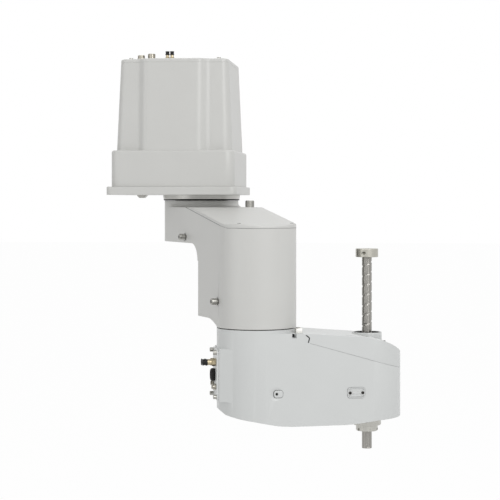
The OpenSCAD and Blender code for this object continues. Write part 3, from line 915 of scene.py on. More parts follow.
class Assembly:
    """A sub-assembly, with its place, the body that it rides on and its main finish."""

    place: ClassVar[Place]
    body: ClassVar[Body]
    main: ClassVar[Finish]

    def dress(self, made: bpy.types.Object, nodes: Sequence[str], finish: Finish, crease: float) -> None:
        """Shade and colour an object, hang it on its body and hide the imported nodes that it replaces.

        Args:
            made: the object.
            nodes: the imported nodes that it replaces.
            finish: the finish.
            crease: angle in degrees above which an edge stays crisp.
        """
        mesh = made.data
        mesh.materials.clear()
        mesh.materials.append(finish.material())
        mesh.polygons.foreach_set("material_index", [0] * len(mesh.polygons))
        mesh.polygons.foreach_set("use_smooth", [True] * len(mesh.polygons))
        mesh.set_sharp_from_angle(angle=math.radians(crease))
        mesh.update()
        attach(made, self.body.value)
        if nodes:
            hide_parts(*nodes)
        LOG.info("%s: %d faces on %s", made.name, len(mesh.polygons), self.body.value)

    def piece(self, name: str, bm: Solid, *nodes: str, finish: Finish | None = None,
              place: Place | None = None, led: bool = False) -> None:
        """Make a piece of a mesh.

        Args:
            name: the piece's name.
            bm: its mesh in the local frame; it is used up.
            nodes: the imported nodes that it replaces.
            finish: its finish, if not the main one.
            place: its local frame, if not the sub-assembly's.
            led: whether large flat faces lead the shading of the roundings beside them.
        """
        bm.transform((place or self.place).matrix())
        mesh = bpy.data.meshes.new(name)
        bm.to_mesh(mesh)
        bm.free()
        made = bpy.data.objects.new(name, mesh)
        bpy.context.scene.collection.objects.link(made)
        self.dress(made, nodes, finish or self.main, CREASE)
        if led:
            lead_shading(mesh)

    def grown(self, name: str, tree: Tree, points: Sequence[Spot], *nodes: str,
              finish: Finish | None = None, crease: float = CREASE, **sizes: float) -> None:
        """Grow a piece by a Geometry Nodes tree and bake it into a plain mesh.

        Args:
            name: the piece's name.
            tree: the tree.
            points: where each copy stands and where it faces, in the local frame.
            nodes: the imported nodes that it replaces.
            finish: its finish, if not the main one.
            crease: angle in degrees above which an edge stays crisp.
            sizes: values of the tree's inputs, underscores for blanks.
        """
        finish = finish or self.main
        mesh = bpy.data.meshes.new(name)
        mesh.from_pydata([tuple(p) for p, _ in points], [], [])
        facing = mesh.attributes.new("facing", "FLOAT_VECTOR", "POINT")
        for i, (_, way) in enumerate(points):
            facing.data[i].vector = way
        made = bpy.data.objects.new(name, mesh)
        bpy.context.scene.collection.objects.link(made)
        modifier = made.modifiers.new("grow", "NODES")
        modifier.node_group = tree
        inputs = {s.name: s.identifier for s in tree.interface.items_tree if s.in_out == "INPUT"}
        modifier[inputs["Finish"]] = finish.material()
        for label, value in sizes.items():
            modifier[inputs[label.replace("_", " ")]] = value
        graph = bpy.context.evaluated_depsgraph_get()
        baked = bpy.data.meshes.new_from_object(made.evaluated_get(graph))
        made.modifiers.remove(modifier)
        baked.transform(self.place.matrix())
        baked.name = name
        made.data = baked
        self.dress(made, nodes, finish, crease)

    def screws(self, name: str, points: Sequence[Spot], size: Screw, *nodes: str,
               finish: Finish = ZINC) -> None:
        """Set a screw on each point, facing the point's way out."""
        self.grown(name, screw_tree(), points, *nodes, finish=finish, Head_Radius=size.head,
                   Head_Height=size.height, Socket_Radius=size.key)

    def shade_sockets(self, name: str, heads: Sequence[Spot], height: float, radius: float) -> None:
        """Fill the sockets of screws with black plugs, painted shade of their hollow insides.

        Args:
            name: the piece's name.
            heads: where each head stands and where it faces.
            height: height of the heads.
            radius: radius of the sockets.
        """
        # The black fill is painted shade: it stands for the shade deep in each socket.
        ends = (0.4 * height, 0.98 * height)
        made = [moved(skin([circle(radius, z) for z in ends]), *head) for head in heads]
        self.piece(name, joined(made), finish=BLACK)

    def shade_strip(self, name: str, path: Sequence[Spot], width: float) -> None:
        """Build a black strip in the mouth of a seam, painted shade of the seam's gap.

        Args:
            name: the piece's name.
            path: points on the wall along the seam, and the wall's way out at each.
            width: the gasket's width along the wall.
        """
        proud, sunk = 0.12 * MM, 0.8 * MM
        rings = []
        for i, (point, way) in enumerate(path):
            ahead = path[min(i + 1, len(path) - 1)][0] - path[max(i - 1, 0)][0]
            across = way.cross(ahead).normalized() * (width / 2)
            rings.append([point + across + way * proud, point + across - way * sunk,
                          point - across - way * sunk, point - across + way * proud])
        # The strip is black: painted shade in the seam's gap.
        self.piece(name, skin(rings), finish=BLACK)


class Arm(Assembly):
    """An arm whose two side walls lean in towards its tip.

    Args:
        wall: distance of the side walls from the arm's first axis.
        lean: angle that they lean in by, in radians.
    """

    wall: float
    lean: float

    def on_wall(self, side: int, s: float, z: float, out: float = 0.0) -> Spot:
        """Return a point on a side wall and the wall's direction outwards.

        Args:
            side: 1 for the wall at positive Y, -1 for the other.
            s: distance along the leaning wall.
            z: height from the arm's upper seam.
            out: distance outwards from the wall.

        Returns:
            The point and the direction.
        """
        y = self.wall + out
        c, n = math.cos(self.lean), math.sin(self.lean)
        return Vector((s * c + y * n, side * (-s * n + y * c), z)), Vector((n, side * c, 0.0))


# ------------------------------------------------------------------ the robot

@dataclass
class Base(Assembly):
    """The fixed foot: housing, lid, mounting block, flange and the connectors on top.

    Args:
        rear: rear face of the housing, in metres behind the shoulder axis.
        front: front face ahead of it.
        pad_middle: where the side pads are centred.
        pad_half: half width over the side pads.
        recess_half: half width at the recessed corners.
        pad_flat: half length of the pads' flat.
        pad_slope: length of the slope at each end of a pad.
        corner: rounding of the housing's upright corners.
        draft: inward slope of the walls, in radians.
        lid: thickness of the lid.
        seam: how far the edges of the seam under the lid are broken.
        top_round: rounding of the lid's upper edge.
        block_round: rounding of the block's upper edge.
        top: height of the lid's top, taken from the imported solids.
    """

    place = AT_BASE
    body = Body.BASE
    main = WARM_GREY
    rear: float = -170 * MM
    front: float = 80 * MM
    pad_middle: float = -46.5 * MM
    pad_half: float = 129 * MM
    recess_half: float = 115 * MM
    pad_flat: float = 59 * MM
    pad_slope: float = 16 * MM
    corner: float = 20 * MM
    draft: float = math.radians(2.5)
    lid: float = 8 * MM
    seam: float = 0.5 * MM
    top_round: float = 4 * MM
    block_round: float = 5 * MM
    top: float = field(init=False)

    def __post_init__(self) -> None:
        """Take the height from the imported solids."""
        self.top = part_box("base_lid")[1][2]

    def level(self, z: float, extra: float = 0.0) -> list[Vector]:
        """Return the housing's outline at a height, counter-clockwise.

        Args:
            z: the height, which draws the outline in by the walls' draft.
            extra: how far it is drawn in beyond that.

        Returns:
            The outline's points.
        """
        shrink = max(z, 0.0) * math.tan(self.draft) + extra
        x0, x1, y = self.rear + shrink, self.front - shrink, self.recess_half - shrink
        foot, flat = self.pad_flat + self.pad_slope, self.pad_flat
        pad, corner, soft = self.pad_half - shrink, self.corner - shrink / 2, self.corner
        m = self.pad_middle
        return at_height(rounded_ring([
            (x1, -y, corner), (x1, y, corner), (m + foot, y, soft), (m + flat, pad, soft),
            (m - flat, pad, soft), (m - foot, y, soft), (x0, y, corner), (x0, -y, corner),
            (m - foot, -y, soft), (m - flat, -pad, soft), (m + flat, -pad, soft),
            (m + foot, -y, soft)]), z)

    def housing(self) -> None:
        """Build the drafted housing with its two side pads."""
        low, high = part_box("base_housing")[0][2], self.top - self.lid
        rows = [self.level(z) for z in (low, 0.0, high / 3, 2 * high / 3, high - self.seam)]
        rows.append(self.level(high, self.seam))
        self.piece("housing", skin(rows), "base_housing", led=True)

    def cap(self) -> None:
        """Build the lid with its rounded edge, and its four screws."""
        foot = self.top - self.lid
        rows = [self.level(foot, self.seam), self.level(foot + self.seam)]
        for a in (math.radians(18 * k) for k in range(6)):
            rows.append(self.level(self.top - self.top_round * (1 - math.sin(a)),
                                   self.top_round * (1 - math.cos(a))))
        self.piece("lid", skin(rows), "base_lid", led=True)
        low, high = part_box("lid_screws")
        head = 4.25 * MM
        points = [(Vector((x, y, low[2])), UP) for x in (low[0] + head, high[0] - head)
                  for y in (low[1] + head, high[1] - head)]
        self.screws("lid_screw_heads", points, Screw(head, high[2] - low[2], 2.3 * MM), "lid_screws")

    def block(self) -> None:
        """Build the mounting block with its ledge, its bolt holes and the flange below it."""
        low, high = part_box("mounting_block")
        outline = rectangle(low[0], high[0], -high[1], high[1], self.corner)
        body = slab(outline, low[2], high[2], 1.2 * MM, self.block_round)
        mount = next(m for m in frame["record"]["mounts"] if m["name"] == "ceiling_bolts")
        dims = mount["dims"]
        depth, radius = 24 * MM, dims["hole_r_mm"] * MM
        holes = [moved(lathe(turned(radius, -depth, 2 * MM, 0.0), 32),
                       Vector((mount["pos_m"][0] + sx * dims["spacing_x_mm"] * MM / 2,
                               sy * dims["spacing_y_mm"] * MM / 2, 0.0)))
                 for sx in SIDES for sy in SIDES]
        self.piece("block", bored(body, holes), "mounting_block", led=True)
        low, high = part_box("base_flange")
        outline = rectangle(low[0], high[0], -high[1], high[1], 15 * MM)
        plate = slab(outline, low[2], high[2], 1.0 * MM, 1.6 * MM)
        self.piece("flange", plate, "base_flange", led=True)

    def shoulder(self) -> None:
        """Build the bearing's collar and the wedge-shaped stop under the flange."""
        low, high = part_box("shoulder_collar")
        r, groove = high[0], 0.8 * MM
        middle = low[2] + 3.5 * MM
        profile = [(0, low[2]), (r - 1.2 * MM, low[2]), (r - groove, low[2] + 0.6 * MM),
                   (r - groove, middle), (r, middle + 0.4 * MM), (r, high[2]), (0, high[2])]
        self.piece("collar", lathe(profile, 128), "shoulder_collar", finish=BEARING)
        low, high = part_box("shoulder_stop")
        middle, root, tip = (low[0] + high[0]) / 2, (high[0] - low[0]) / 2, 5 * MM
        rings = []
        for wide, z in ((tip, low[2]), (root, high[2])):
            x0, x1 = middle - wide, middle + wide
            rings.append(at_height([(x0, low[1]), (x1, low[1]), (x1, high[1]), (x0, high[1])], z))
        wedge = skin(rings)
        soften(wedge, lambda mid, a, b: 1.2 * MM if mid.z < high[2] - 1 * MM else 0.0)
        self.piece("stop_wedge", wedge, "shoulder_stop", finish=ZINC)

    def gap_lip_shade(self) -> None:
        """Build a black lip in the running gap under the collar, painted shade of the gap; it clears the hub."""
        low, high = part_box("shoulder_collar")
        r, clear = high[0], 0.3 * MM
        lip = turned(r - 1.2 * MM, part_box("shoulder_hub")[1][2] + clear, low[2], 0.1 * MM, r - 6 * MM)
        # Black lip: painted shade in the running gap.
        self.piece("shoulder_gap_shade", lathe(lip, 128), finish=BLACK)

    def round_plug(self, node: str, radius: float) -> None:
        """Build a round connector: a flanged foot and a ribbed shell with an open mouth.

        Args:
            node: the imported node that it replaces.
            radius: radius over the shell's ribs.
        """
        low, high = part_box(node)
        at = Vector(((low[0] + high[0]) / 2, (low[1] + high[1]) / 2, low[2]))
        wide, tall, foot = (high[0] - low[0]) / 2, high[2] - low[2], 3 * MM
        core, wall = radius - 1.0 * MM, 1.6 * MM
        profile = [(0, 0), (wide, 0), (wide, foot - 0.5 * MM), (wide - 0.5 * MM, foot), (core, foot),
                   (core, tall - 0.6 * MM), (core - 0.6 * MM, tall), (core - wall, tall),
                   (core - wall, foot + 1 * MM), (0, foot + 1 * MM)]
        self.piece(node + "_shell", moved(lathe(profile), at), node, finish=NICKEL)
        middle = at + Vector((0, 0, (foot + tall) / 2))
        self.grown(node + "_ribs", knurl_tree(), [(middle, UP)], finish=NICKEL, Ribs=14,
                   Radius=core + 0.2 * MM, Rib_Width=1.5 * MM, Length=tall - foot - 1.4 * MM)

    def connectors(self) -> None:
        """Build the power and signal connectors and the two air ports on the lid."""
        self.round_plug("power_connector", 7.5 * MM)
        self.round_plug("signal_connector", 8 * MM)
        low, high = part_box("base_air_ports")
        ring_low, ring_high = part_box("base_air_collars")
        corner, hex_top = 4.8 * MM, low[2] + 5 * MM
        bodies, rings = [], []
        for x in (low[0] + corner, high[0] - corner):
            at = Vector((x, (low[1] + high[1]) / 2, 0))
            bodies.append(moved(hexagon(corner * math.sqrt(3), low[2], hex_top, 0.5 * MM), at))
            bodies.append(moved(lathe(turned(3.5 * MM, hex_top, high[2], 0.3 * MM), 40), at))
            rings.append(moved(push_ring(4.5 * MM, ring_low[2], ring_high[2]), at))
        self.piece("air_port_bodies", joined(bodies), "base_air_ports", finish=BRASS)
        self.piece("air_port_rings", joined(rings), "base_air_collars", finish=BLACK)

    def build(self) -> None:
        """Build every piece of the base."""
        for make in (self.housing, self.cap, self.block, self.shoulder, self.gap_lip_shade, self.connectors):
            make()


@dataclass
class InnerArm(Arm):
    """The first arm: hub, casting with its column, sloped cover, stop bolt and side screws.

    Args:
        edge: rounding of the casting's lower edges.
        cover_edge: rounding of the cover's upper edges.
        seam: how far both edges of the seam under the cover are broken.
        wall: distance of the side walls from the shoulder axis.
        lean: angle that the side walls lean in by, in radians.
        reach: distance of the elbow from the shoulder axis.
        nose: radius of the round end about the elbow.
        tip: the furthest that the round end reaches.
        bend: distance and height at which the seam stops sloping down.
        seam_slope: fall of the seam up to there, as height over distance.
        seam_top: height at which the seam starts.
        spots: distance along the wall and height of each side screw.
        recess: radius of the recess round a side screw.
        sunk: depth of that recess.
    """

    place = AT_SHOULDER
    body = Body.INNER
    main = WARM_GREY
    edge: float = 4 * MM
    cover_edge: float = 2.5 * MM
    seam: float = 1.0 * MM
    wall: float = 80.8 * MM
    lean: float = math.asin((81 - 79.5) / 325)
    reach: float = 325 * MM
    nose: float = 79.3 * MM
    tip: float = 405 * MM
    bend: tuple[float, float] = (354 * MM, -55.0 * MM)
    seam_slope: float = math.tan(math.radians(9.8))
    seam_top: float = -15.5 * MM
    spots: tuple[tuple[float, float], ...] = ((121.5 * MM, -77.5 * MM), (315 * MM, -201.5 * MM))
    recess: float = 8 * MM
    sunk: float = 2 * MM

    def hub(self) -> None:
        """Build the hub under the shoulder seam."""
        def rule(mid: Vector, a: Vector, b: Vector) -> float:
            """Break the upper rim alone."""
            return 0.8 * MM if mid.z > -2 * MM and mid.xy.length > 70 * MM else 0.0

        self.piece("hub", softened_copy("shoulder_hub", self.place, rule), "shoulder_hub", led=True)

    def casting(self) -> None:
        """Build the casting from its solid, with its lower edges rounded."""
        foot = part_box("inner_arm_casting")[0][2] - SHOULDER_POINT.z
        hub_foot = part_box("shoulder_hub")[0][2] - SHOULDER_POINT.z
        skirt = 16 * MM

        def rule(mid: Vector, a: Vector, b: Vector) -> float:
            """Break the seam's edge, round the edges below, leave the recesses and the foot alone.

            Args:
                mid: middle of the edge.
                a: way out of one of its faces.
                b: way out of the other.

            Returns:
                The radius.
            """
            if mid.z < foot + skirt or any(
                    math.hypot(mid.x - x, mid.z - z) < self.recess + 1 * MM for x, z in self.spots):
                return 0.0
            if max(a.z, b.z) > LOOKS_UP:
                return self.seam if min(a.z, b.z) < UPRIGHT and mid.z < hub_foot - 1 * MM else 0.0
            if min(a.z, b.z) < -UPRIGHT or max(abs(a.z), abs(b.z)) < UPRIGHT:
                return self.edge
            return 0.0

        self.piece("inner_casting", softened_copy("inner_arm_casting", self.place, rule),
                   "inner_arm_casting", led=True)

    def seams(self) -> None:
        """Build the seam's black strips of painted shade: a wide one down each side and a fine one round the tip.
        """
        x, z = self.bend
        start = x + (z - self.seam_top) / self.seam_slope
        plan = belt(self.wall, self.nose, self.reach, start, self.tip)
        path = [(Vector((p.x, p.y, z + (x - p.x) * self.seam_slope if p.x < x else z - 0.5 * MM)), way)
                for p, way in plan]
        wide, fine = 0.6 * MM, 0.22 * MM
        # Each black strip is painted shade of the gap under the cover.
        for name, part, width in (("near", path[:14], wide), ("tip", path[13:-13], fine),
                                  ("far", path[-14:], wide)):
            self.shade_strip("inner_seam_" + name, part, width)

    def cover(self) -> None:
        """Build the sloped cover from its solid, with rounded upper edges and a broken seam."""
        def rule(mid: Vector, a: Vector, b: Vector) -> float:
            """Break the seam's edge and round the others.

            Args:
                mid: middle of the edge.
                a: way out of one of its faces.
                b: way out of the other.

            Returns:
                The radius.
            """
            if min(a.z, b.z) < -LOOKS_UP:
                return self.seam if max(a.z, b.z) < UPRIGHT else 0.0
            return self.cover_edge

        self.piece("inner_cover", softened_copy("inner_arm_cover", self.place, rule, sharp=16),
                   "inner_arm_cover", led=True)
        x, y, z = 373 * MM, 56 * MM, -47.4 * MM
        points = [(Vector((x, side * y, z)), UP) for side in SIDES]
        self.screws("cover_screws", points, Screw(3.4 * MM, 1.6 * MM, 1.6 * MM), finish=BLACK)

    def stop_bolt(self) -> None:
        """Build the knurled stop bolt with its hollow head."""
        low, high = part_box("shoulder_stop_bolt")
        at = AT_SHOULDER.local((Vector(low) + Vector(high)) / 2)
        r, tall, key = (high[0] - low[0]) / 2, high[2] - low[2], 4.6 * MM
        foot = Vector((at.x, at.y, at.z - tall / 2))
        profile = [(0, 0), (r, 0), (r, tall - 1.0 * MM), (r - 1.0 * MM, tall), (5.0 * MM, tall),
                   (key, tall - 0.5 * MM), (key, tall - 6 * MM), (0, tall - 6 * MM)]
        self.piece("stop_bolt", moved(lathe(profile), foot), "shoulder_stop_bolt", finish=ZINC)
        self.grown("stop_bolt_knurl", knurl_tree(), [(foot + Vector((0, 0, tall * 0.48)), UP)],
                   finish=ZINC, Ribs=36, Radius=r - 0.1 * MM, Rib_Width=1.1 * MM, Length=tall * 0.8)

    def side_screws(self) -> None:
        """Build the screws that stand out of the recesses of one side wall."""
        size, neck, neck_high, keyhole = Screw(6.5 * MM, 9.5 * MM, 4.0 * MM), 4.5 * MM, 6 * MM, 4.2 * MM
        seats = [self.on_wall(-1, x, z, -self.sunk) for x, z in self.spots]
        heads = [(spot + way * neck_high, way) for spot, way in seats]
        shank = turned(neck, 0.0, neck_high + 0.5 * MM, 0.2 * MM)
        self.screws("side_screw_heads", heads, size, "inner_side_screws")
        # Black fill in the sockets: painted shade.
        self.shade_sockets("side_screw_socket_shade", heads, size.height, keyhole)
        self.piece("side_screw_necks", joined([moved(lathe(shank, 32), *seat) for seat in seats]),
                   finish=ZINC)

    def build(self) -> None:
        """Build every piece of the inner arm."""
        for make in (self.hub, self.casting, self.seams, self.cover, self.stop_bolt, self.side_screws):
            make()


@dataclass
class OuterArm(Arm):
    """The second arm: casting, cover, boss round the spindle, rear panel and side hatches.

    Args:
        edge: rounding of the cover's upper edges.
        low_edge: rounding of the casting's lower edges.
        seam: how far both edges of the seam under the cover are broken.
        top: height of the cover's top over the elbow.
        wall: distance of the side walls from the elbow axis.
        lean: angle that the side walls lean in by, in radians.
        reach: distance of the spindle from the elbow axis.
        nose: radius of the round end about the spindle.
        plug: distance along the wall and height of the plug's dish.
        hatch: distance along the wall and height of the hatch.
        panel_face: where the rear panel's outer face lies.
    """

    place = AT_ELBOW
    body = Body.OUTER
    main = COOL_GREY
    edge: float = 4.5 * MM
    low_edge: float = 3 * MM
    seam: float = 1.0 * MM
    top: float = -7.5 * MM
    wall: float = 79.3 * MM
    lean: float = math.asin((79.5 - 67) / 225)
    reach: float = 225 * MM
    nose: float = 67 * MM
    plug: tuple[float, float] = (24.8 * MM, -125 * MM)
    hatch: tuple[float, float] = (185 * MM, -126 * MM)
    panel_face: float = -83.7 * MM

    def near_spindle(self, point: Vector, radius: float) -> bool:
        """Tell whether a point lies within a radius of the spindle's axis."""
        return math.hypot(point.x - self.reach, point.y) < radius

    def casting(self) -> None:
        """Build the casting from its solid, with rounded edges, a broken seam and the plugs' dishes."""
        shelf, hub, well = -9 * MM, 70 * MM, 40 * MM

        def rule(mid: Vector, a: Vector, b: Vector) -> float:
            """Round the edges below and at the rear, and break those on top.

            Args:
                mid: middle of the edge.
                a: way out of one of its faces.
                b: way out of the other.

            Returns:
                The radius.
            """
            if mid.z > shelf:
                return 1.0 * MM if mid.z < self.top + 1 * MM and mid.xy.length > hub else 0.0
            if self.near_spindle(mid, well):
                return 0.0
            if min(a.z, b.z) < -UPRIGHT:
                return self.low_edge
            return self.seam if max(a.z, b.z) > LOOKS_UP and min(a.z, b.z) < UPRIGHT else 0.0

        bm = softened_copy("outer_arm_casting", self.place, rule)
        radius, deep, shift = 13.5 * MM, 2 * MM, 1.4 * MM
        ball = (radius ** 2 + deep ** 2) / (2 * deep)
        dishes = []
        for side in SIDES:
            dish = bmesh.new()
            bmesh.ops.create_uvsphere(dish, u_segments=160, v_segments=120, radius=ball)
            seat = self.on_wall(side, self.plug[0] - shift, self.plug[1], ball - deep)
            dishes.append(moved(dish, *seat))
        self.piece("outer_casting", bored(bm, dishes), "outer_arm_casting", led=True)

    def cover(self) -> None:
        """Build the crowned cover from its solid, with rounded upper edges and a broken seam."""
        well = 35 * MM

        def rule(mid: Vector, a: Vector, b: Vector) -> float:
            """Round the upper rim, break the seam's edges and leave the opening alone.

            Args:
                mid: middle of the edge.
                a: way out of one of its faces.
                b: way out of the other.

            Returns:
                The radius.
            """
            if self.near_spindle(mid, well):
                return 0.0
            if min(a.z, b.z) < -LOOKS_UP or max(abs(a.z), abs(b.z)) < UPRIGHT:
                return self.seam if max(a.z, b.z) < UPRIGHT else 0.0
            return self.edge if max(a.z, b.z) > FLAT and min(a.z, b.z) > -UPRIGHT else 0.0

        self.piece("outer_cover", softened_copy("outer_arm_cover", self.place, rule, segments=5),
                   "outer_arm_cover", led=True)
        x, y, z = 248 * MM, 55.5 * MM, -26.6 * MM
        points = [(Vector((x, side * y, z)), UP) for side in SIDES]
        self.screws("outer_cover_screws", points, Screw(2.8 * MM, 1.6 * MM, 1.4 * MM), finish=OXIDE)

    def boss(self) -> None:
        """Build the ring that guards the spindle's opening on top."""
        bottom, top = heights("spindle_boss")
        outer, inner, soft = 30 * MM, 27 * MM, 1.2 * MM
        profile = [(inner, bottom), (outer, bottom), (outer, top - soft)]
        profile += [(outer - soft * (1 - math.cos(math.radians(a))),
                     top - soft * (1 - math.sin(math.radians(a)))) for a in (30, 60, 90)]
        profile += [(inner + 0.8 * MM, top), (inner, top - 0.8 * MM), (inner, bottom)]
        self.piece("boss_ring", lathe(profile, 96), "spindle_boss", place=AT_SPINDLE)
        liner = turned(inner + 0.1 * MM, top - 26 * MM, top - 0.9 * MM, 0.1 * MM, inner - 0.7 * MM)
        self.piece("boss_liner", lathe(liner, 96), finish=BLACK, place=AT_SPINDLE)

    def stop(self) -> None:
        """Build the machined stop block on top, a black sheet of painted shade in the pocket beside it, and its
        two screws.
        """
        low, high = heights("elbow_stop_block")
        x0, y0, length, width = 69 * MM, -69 * MM, 12.5 * MM, 22 * MM
        ring = rectangle(x0, x0 + length, y0, y0 + width, 1 * MM, 3)
        self.piece("stop_block", slab(ring, low, high, 0.3 * MM, 0.9 * MM), "elbow_stop_block",
                   finish=BLASTED)
        # A black sheet: painted shade in the pocket beside the block.
        pocket_shade = rectangle(60.2 * MM, 66.5 * MM, -66.4 * MM, -64.7 * MM, 0.6 * MM, 3)
        foot, head = self.top - 7.5 * MM, self.top - 1.5 * MM
        self.piece("stop_pocket_shade", slab(pocket_shade, foot, head, 0.2 * MM, 0.4 * MM), finish=BLACK)
        points = [(Vector((x0 + length / 2, y0 + t, high)), UP) for t in (5.5 * MM, 16.5 * MM)]
        self.screws("stop_block_screws", points, Screw(4.25 * MM, 1.0 * MM, 2.2 * MM),
                    "elbow_stop_screws")

    def on_panel(self, y: float, z: float, out: float = 0.0) -> Spot:
        """Return a point over the rear panel, given in millimetres, and the way to the rear."""
        return Vector((self.panel_face - out * MM, y * MM, z * MM)), REAR

    def panel(self) -> None:
        """Build the rear panel and everything that plugs into it."""
        low, high = (AT_ELBOW.local(Vector(c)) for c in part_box("rear_panel"))
        half, thick = 37 * MM, 4 * MM
        plate = slab(rectangle(low.z, high.z, -half, half, 7 * MM), 0.0, thick, 0.2 * MM, 0.8 * MM)
        # The plate is drawn lying down, with its X axis for the panel's height.
        plate.transform(Matrix(((0, 0, -1, self.panel_face + thick), (0, 1, 0, 0), (1, 0, 0, 0),
                                (0, 0, 0, 1))))
        bmesh.ops.recalc_face_normals(plate, faces=plate.faces)
        self.piece("connector_panel", plate, "rear_panel")
        screws = [self.on_panel(y, z) for y in (-31, 31) for z in (-47, -134.5)]
        self.screws("panel_screw_heads", screws, Screw(4.25 * MM, 6.5 * MM, 2.4 * MM), "panel_screws")
        bodies, rings = [], []
        nut, neck = 8 * MM, 17 * MM
        # The two fittings lie on a line that falls a little to one side.
        for at in (self.on_panel(y, -68.8 - y / 14) for y in (-16, 12)):
            bodies.append(moved(hexagon(13 * MM, 0.0, nut, 0.8 * MM), *at))
            bodies.append(moved(lathe(turned(5.5 * MM, nut, neck, 0.5 * MM), 40), *at))
            rings.append(moved(push_ring(6.5 * MM, neck, 26.5 * MM), *at))
        self.piece("air_fitting_bodies", joined(bodies), "air_fittings", finish=BRASS)
        self.piece("air_fitting_rings", joined(rings), "air_collars", finish=BLACK)
        cap = [(0, 0), (12, 0), (12.6, 1.6), (13, 3.6), (12.6, 6.4), (11.4, 8.4), (10.4, 9), (8.8, 9),
               (8.4, 8.4), (8.4, 5), (0, 5)]
        y, z = 2, -94
        self.piece("motor_connector", moved(lathe(cap, unit=MM), *self.on_panel(y, z)), "motor_socket",
                   finish=BLACK)
        self.grown("motor_connector_grip", knurl_tree(), [self.on_panel(y, z, 4)], finish=BLACK,
                   Ribs=30, Radius=12.2 * MM, Rib_Width=1.1 * MM, Length=4 * MM)
        shell = [(0, 0), (6, 0), (6, 2.4), (5.4, 3), (4.5, 3), (4.5, 5.9), (3.9, 6.5), (3.0, 6.5),
                 (3.0, 3.5), (0, 3.5)]
        spots = ((-18, -116), (4, -119), (22, -113))
        shells = [moved(lathe(shell, 40, MM), *self.on_panel(*spot)) for spot in spots]
        self.piece("signal_connector_shells", joined(shells), "signal_sockets", finish=NICKEL)

    def on_rim(self, side: int, x: float, z: float) -> Spot:
        """Return a point on a side wall or on the cover's rounded rim above it, and the way out.

        Args:
            side: 1 for the wall at positive Y, -1 for the other.
            x: distance ahead of the elbow.
            z: height from the elbow seam.

        Returns:
            The point and the direction.
        """
        rise = max(0.0, z - (self.top - self.edge))
        drawn_in = self.edge - math.sqrt(max(0.0, self.edge ** 2 - rise ** 2))
        along = (x - self.wall * math.sin(self.lean)) / math.cos(self.lean)
        point, way = self.on_wall(side, along, z, -drawn_in)
        tilt = math.asin(min(1.0, rise / self.edge))
        return point, (way * math.cos(tilt) + UP * math.sin(tilt)).normalized()

    def seams(self) -> None:
        """Build the seam's black strips of painted shade: a fine one round the nose, a wide one down each rear
        edge.
        """
        (x, z), slope = (92 * MM, -26 * MM), math.tan(math.radians(15.9))
        plan = belt(self.wall, self.nose, self.reach, x, self.reach + self.nose)
        # Black strip: painted shade of the gap under the cover.
        self.shade_strip("outer_seam", [(Vector((p.x, p.y, z - (p.x - x) * slope)), way) for p, way in plan],
                   0.22 * MM)
        # Millimetres ahead of the elbow and over its seam, from the cover's top down to its side.
        steps = ((84.2, -7.9), (86, -9.4), (88.5, -11.4), (91, -13.4), (93.4, -15.4), (94.5, -17),
                 (94.2, -19), (93.2, -22.5), (92.3, -26))
        # Wide black strips: painted shade of the gap at the cover's rear edges.
        for side, name in zip(SIDES, ("near", "far")):
            path = [self.on_rim(side, ahead * MM, height * MM) for ahead, height in steps]
            self.shade_strip("outer_seam_" + name, path, 2.2 * MM)

    def on_both_walls(self, spot: tuple[float, float], make: Callable[[], Solid]) -> Solid:
        """Return two copies of a shape drawn in XY that face out of both side walls.

        Args:
            spot: distance along the wall and height.
            make: function that draws the shape.

        Returns:
            Both copies in one mesh.
        """
        made = []
        for side in SIDES:
            point, way = self.on_wall(side, *spot)
            along = Vector((way.y, -way.x, 0.0)) * side
            turn = Matrix((along, way.cross(along), way)).transposed().to_4x4()
            shape = make()
            shape.transform(Matrix.Translation(point) @ turn)
            bmesh.ops.recalc_face_normals(shape, faces=shape.faces)
            made.append(shape)
        return joined(made)

    def hatches(self) -> None:
        """Build the hatch on both side walls: a raised frame round two screw seats and a web."""
        pitch, rim, proud = 12.8 * MM, 2.2 * MM, 0.25 * MM
        outline = rectangle(-18 * MM, 18 * MM, -10.5 * MM, 10.5 * MM, 6 * MM)

        def rim_frame() -> Solid:
            """Return the frame, open in the middle."""
            hole = inset_ring(outline, rim)
            rows = [(outline, 0.0), (inset_ring(outline, 0.1 * MM), 1.1 * MM),
                    (inset_ring(outline, 0.5 * MM), 1.5 * MM), (inset_ring(hole, -0.4 * MM), 1.5 * MM),
                    (hole, 1.1 * MM), (hole, 0.0)]
            return skin([at_height(ring, z) for ring, z in rows], looped=True)

        def seats() -> Solid:
            """Return the two round seats and the web between them."""
            disc = turned(5.4 * MM, 0.0, 1.2 * MM, 0.3 * MM)
            web = slab(rectangle(-pitch, pitch, -2.6 * MM, 2.6 * MM, 0.5 * MM), 0.0, 0.9 * MM, 0.1 * MM,
                       0.3 * MM)
            return joined([moved(lathe(disc, 40), Vector((x, 0, 0))) for x in (-pitch, pitch)] + [web])

        def shade_gap() -> Solid:
            """Return the black ring of painted shade that shows as a fine dark line round the frame and inside it.
            """
            outside, inside = (inset_ring(outline, inset) for inset in (-0.35 * MM, rim + 0.3 * MM))
            rows = [(outside, 0.0), (outside, proud), (inside, proud), (inside, 0.0)]
            return skin([at_height(ring, z) for ring, z in rows], looped=True)

        plates = [self.on_both_walls(self.hatch, make) for make in (rim_frame, seats)]
        self.piece("hatch_plates", joined(plates), "side_hatch")
        # A black ring: painted shade round the frame's edges.
        self.piece("hatch_shade_gaps", self.on_both_walls(self.hatch, shade_gap), finish=BLACK)
        screws = [self.on_wall(side, self.hatch[0] + x, self.hatch[1], 1.2 * MM)
                  for side in SIDES for x in (-pitch, pitch)]
        self.screws("hatch_screw_heads", screws, Screw(3 * MM, 1.5 * MM, 2.0 * MM), "hatch_screws",
                    finish=OXIDE)
        # Black fill in the sockets: painted shade.
        self.shade_sockets("hatch_screw_socket_shade", screws, 1.55 * MM, 2.1 * MM)

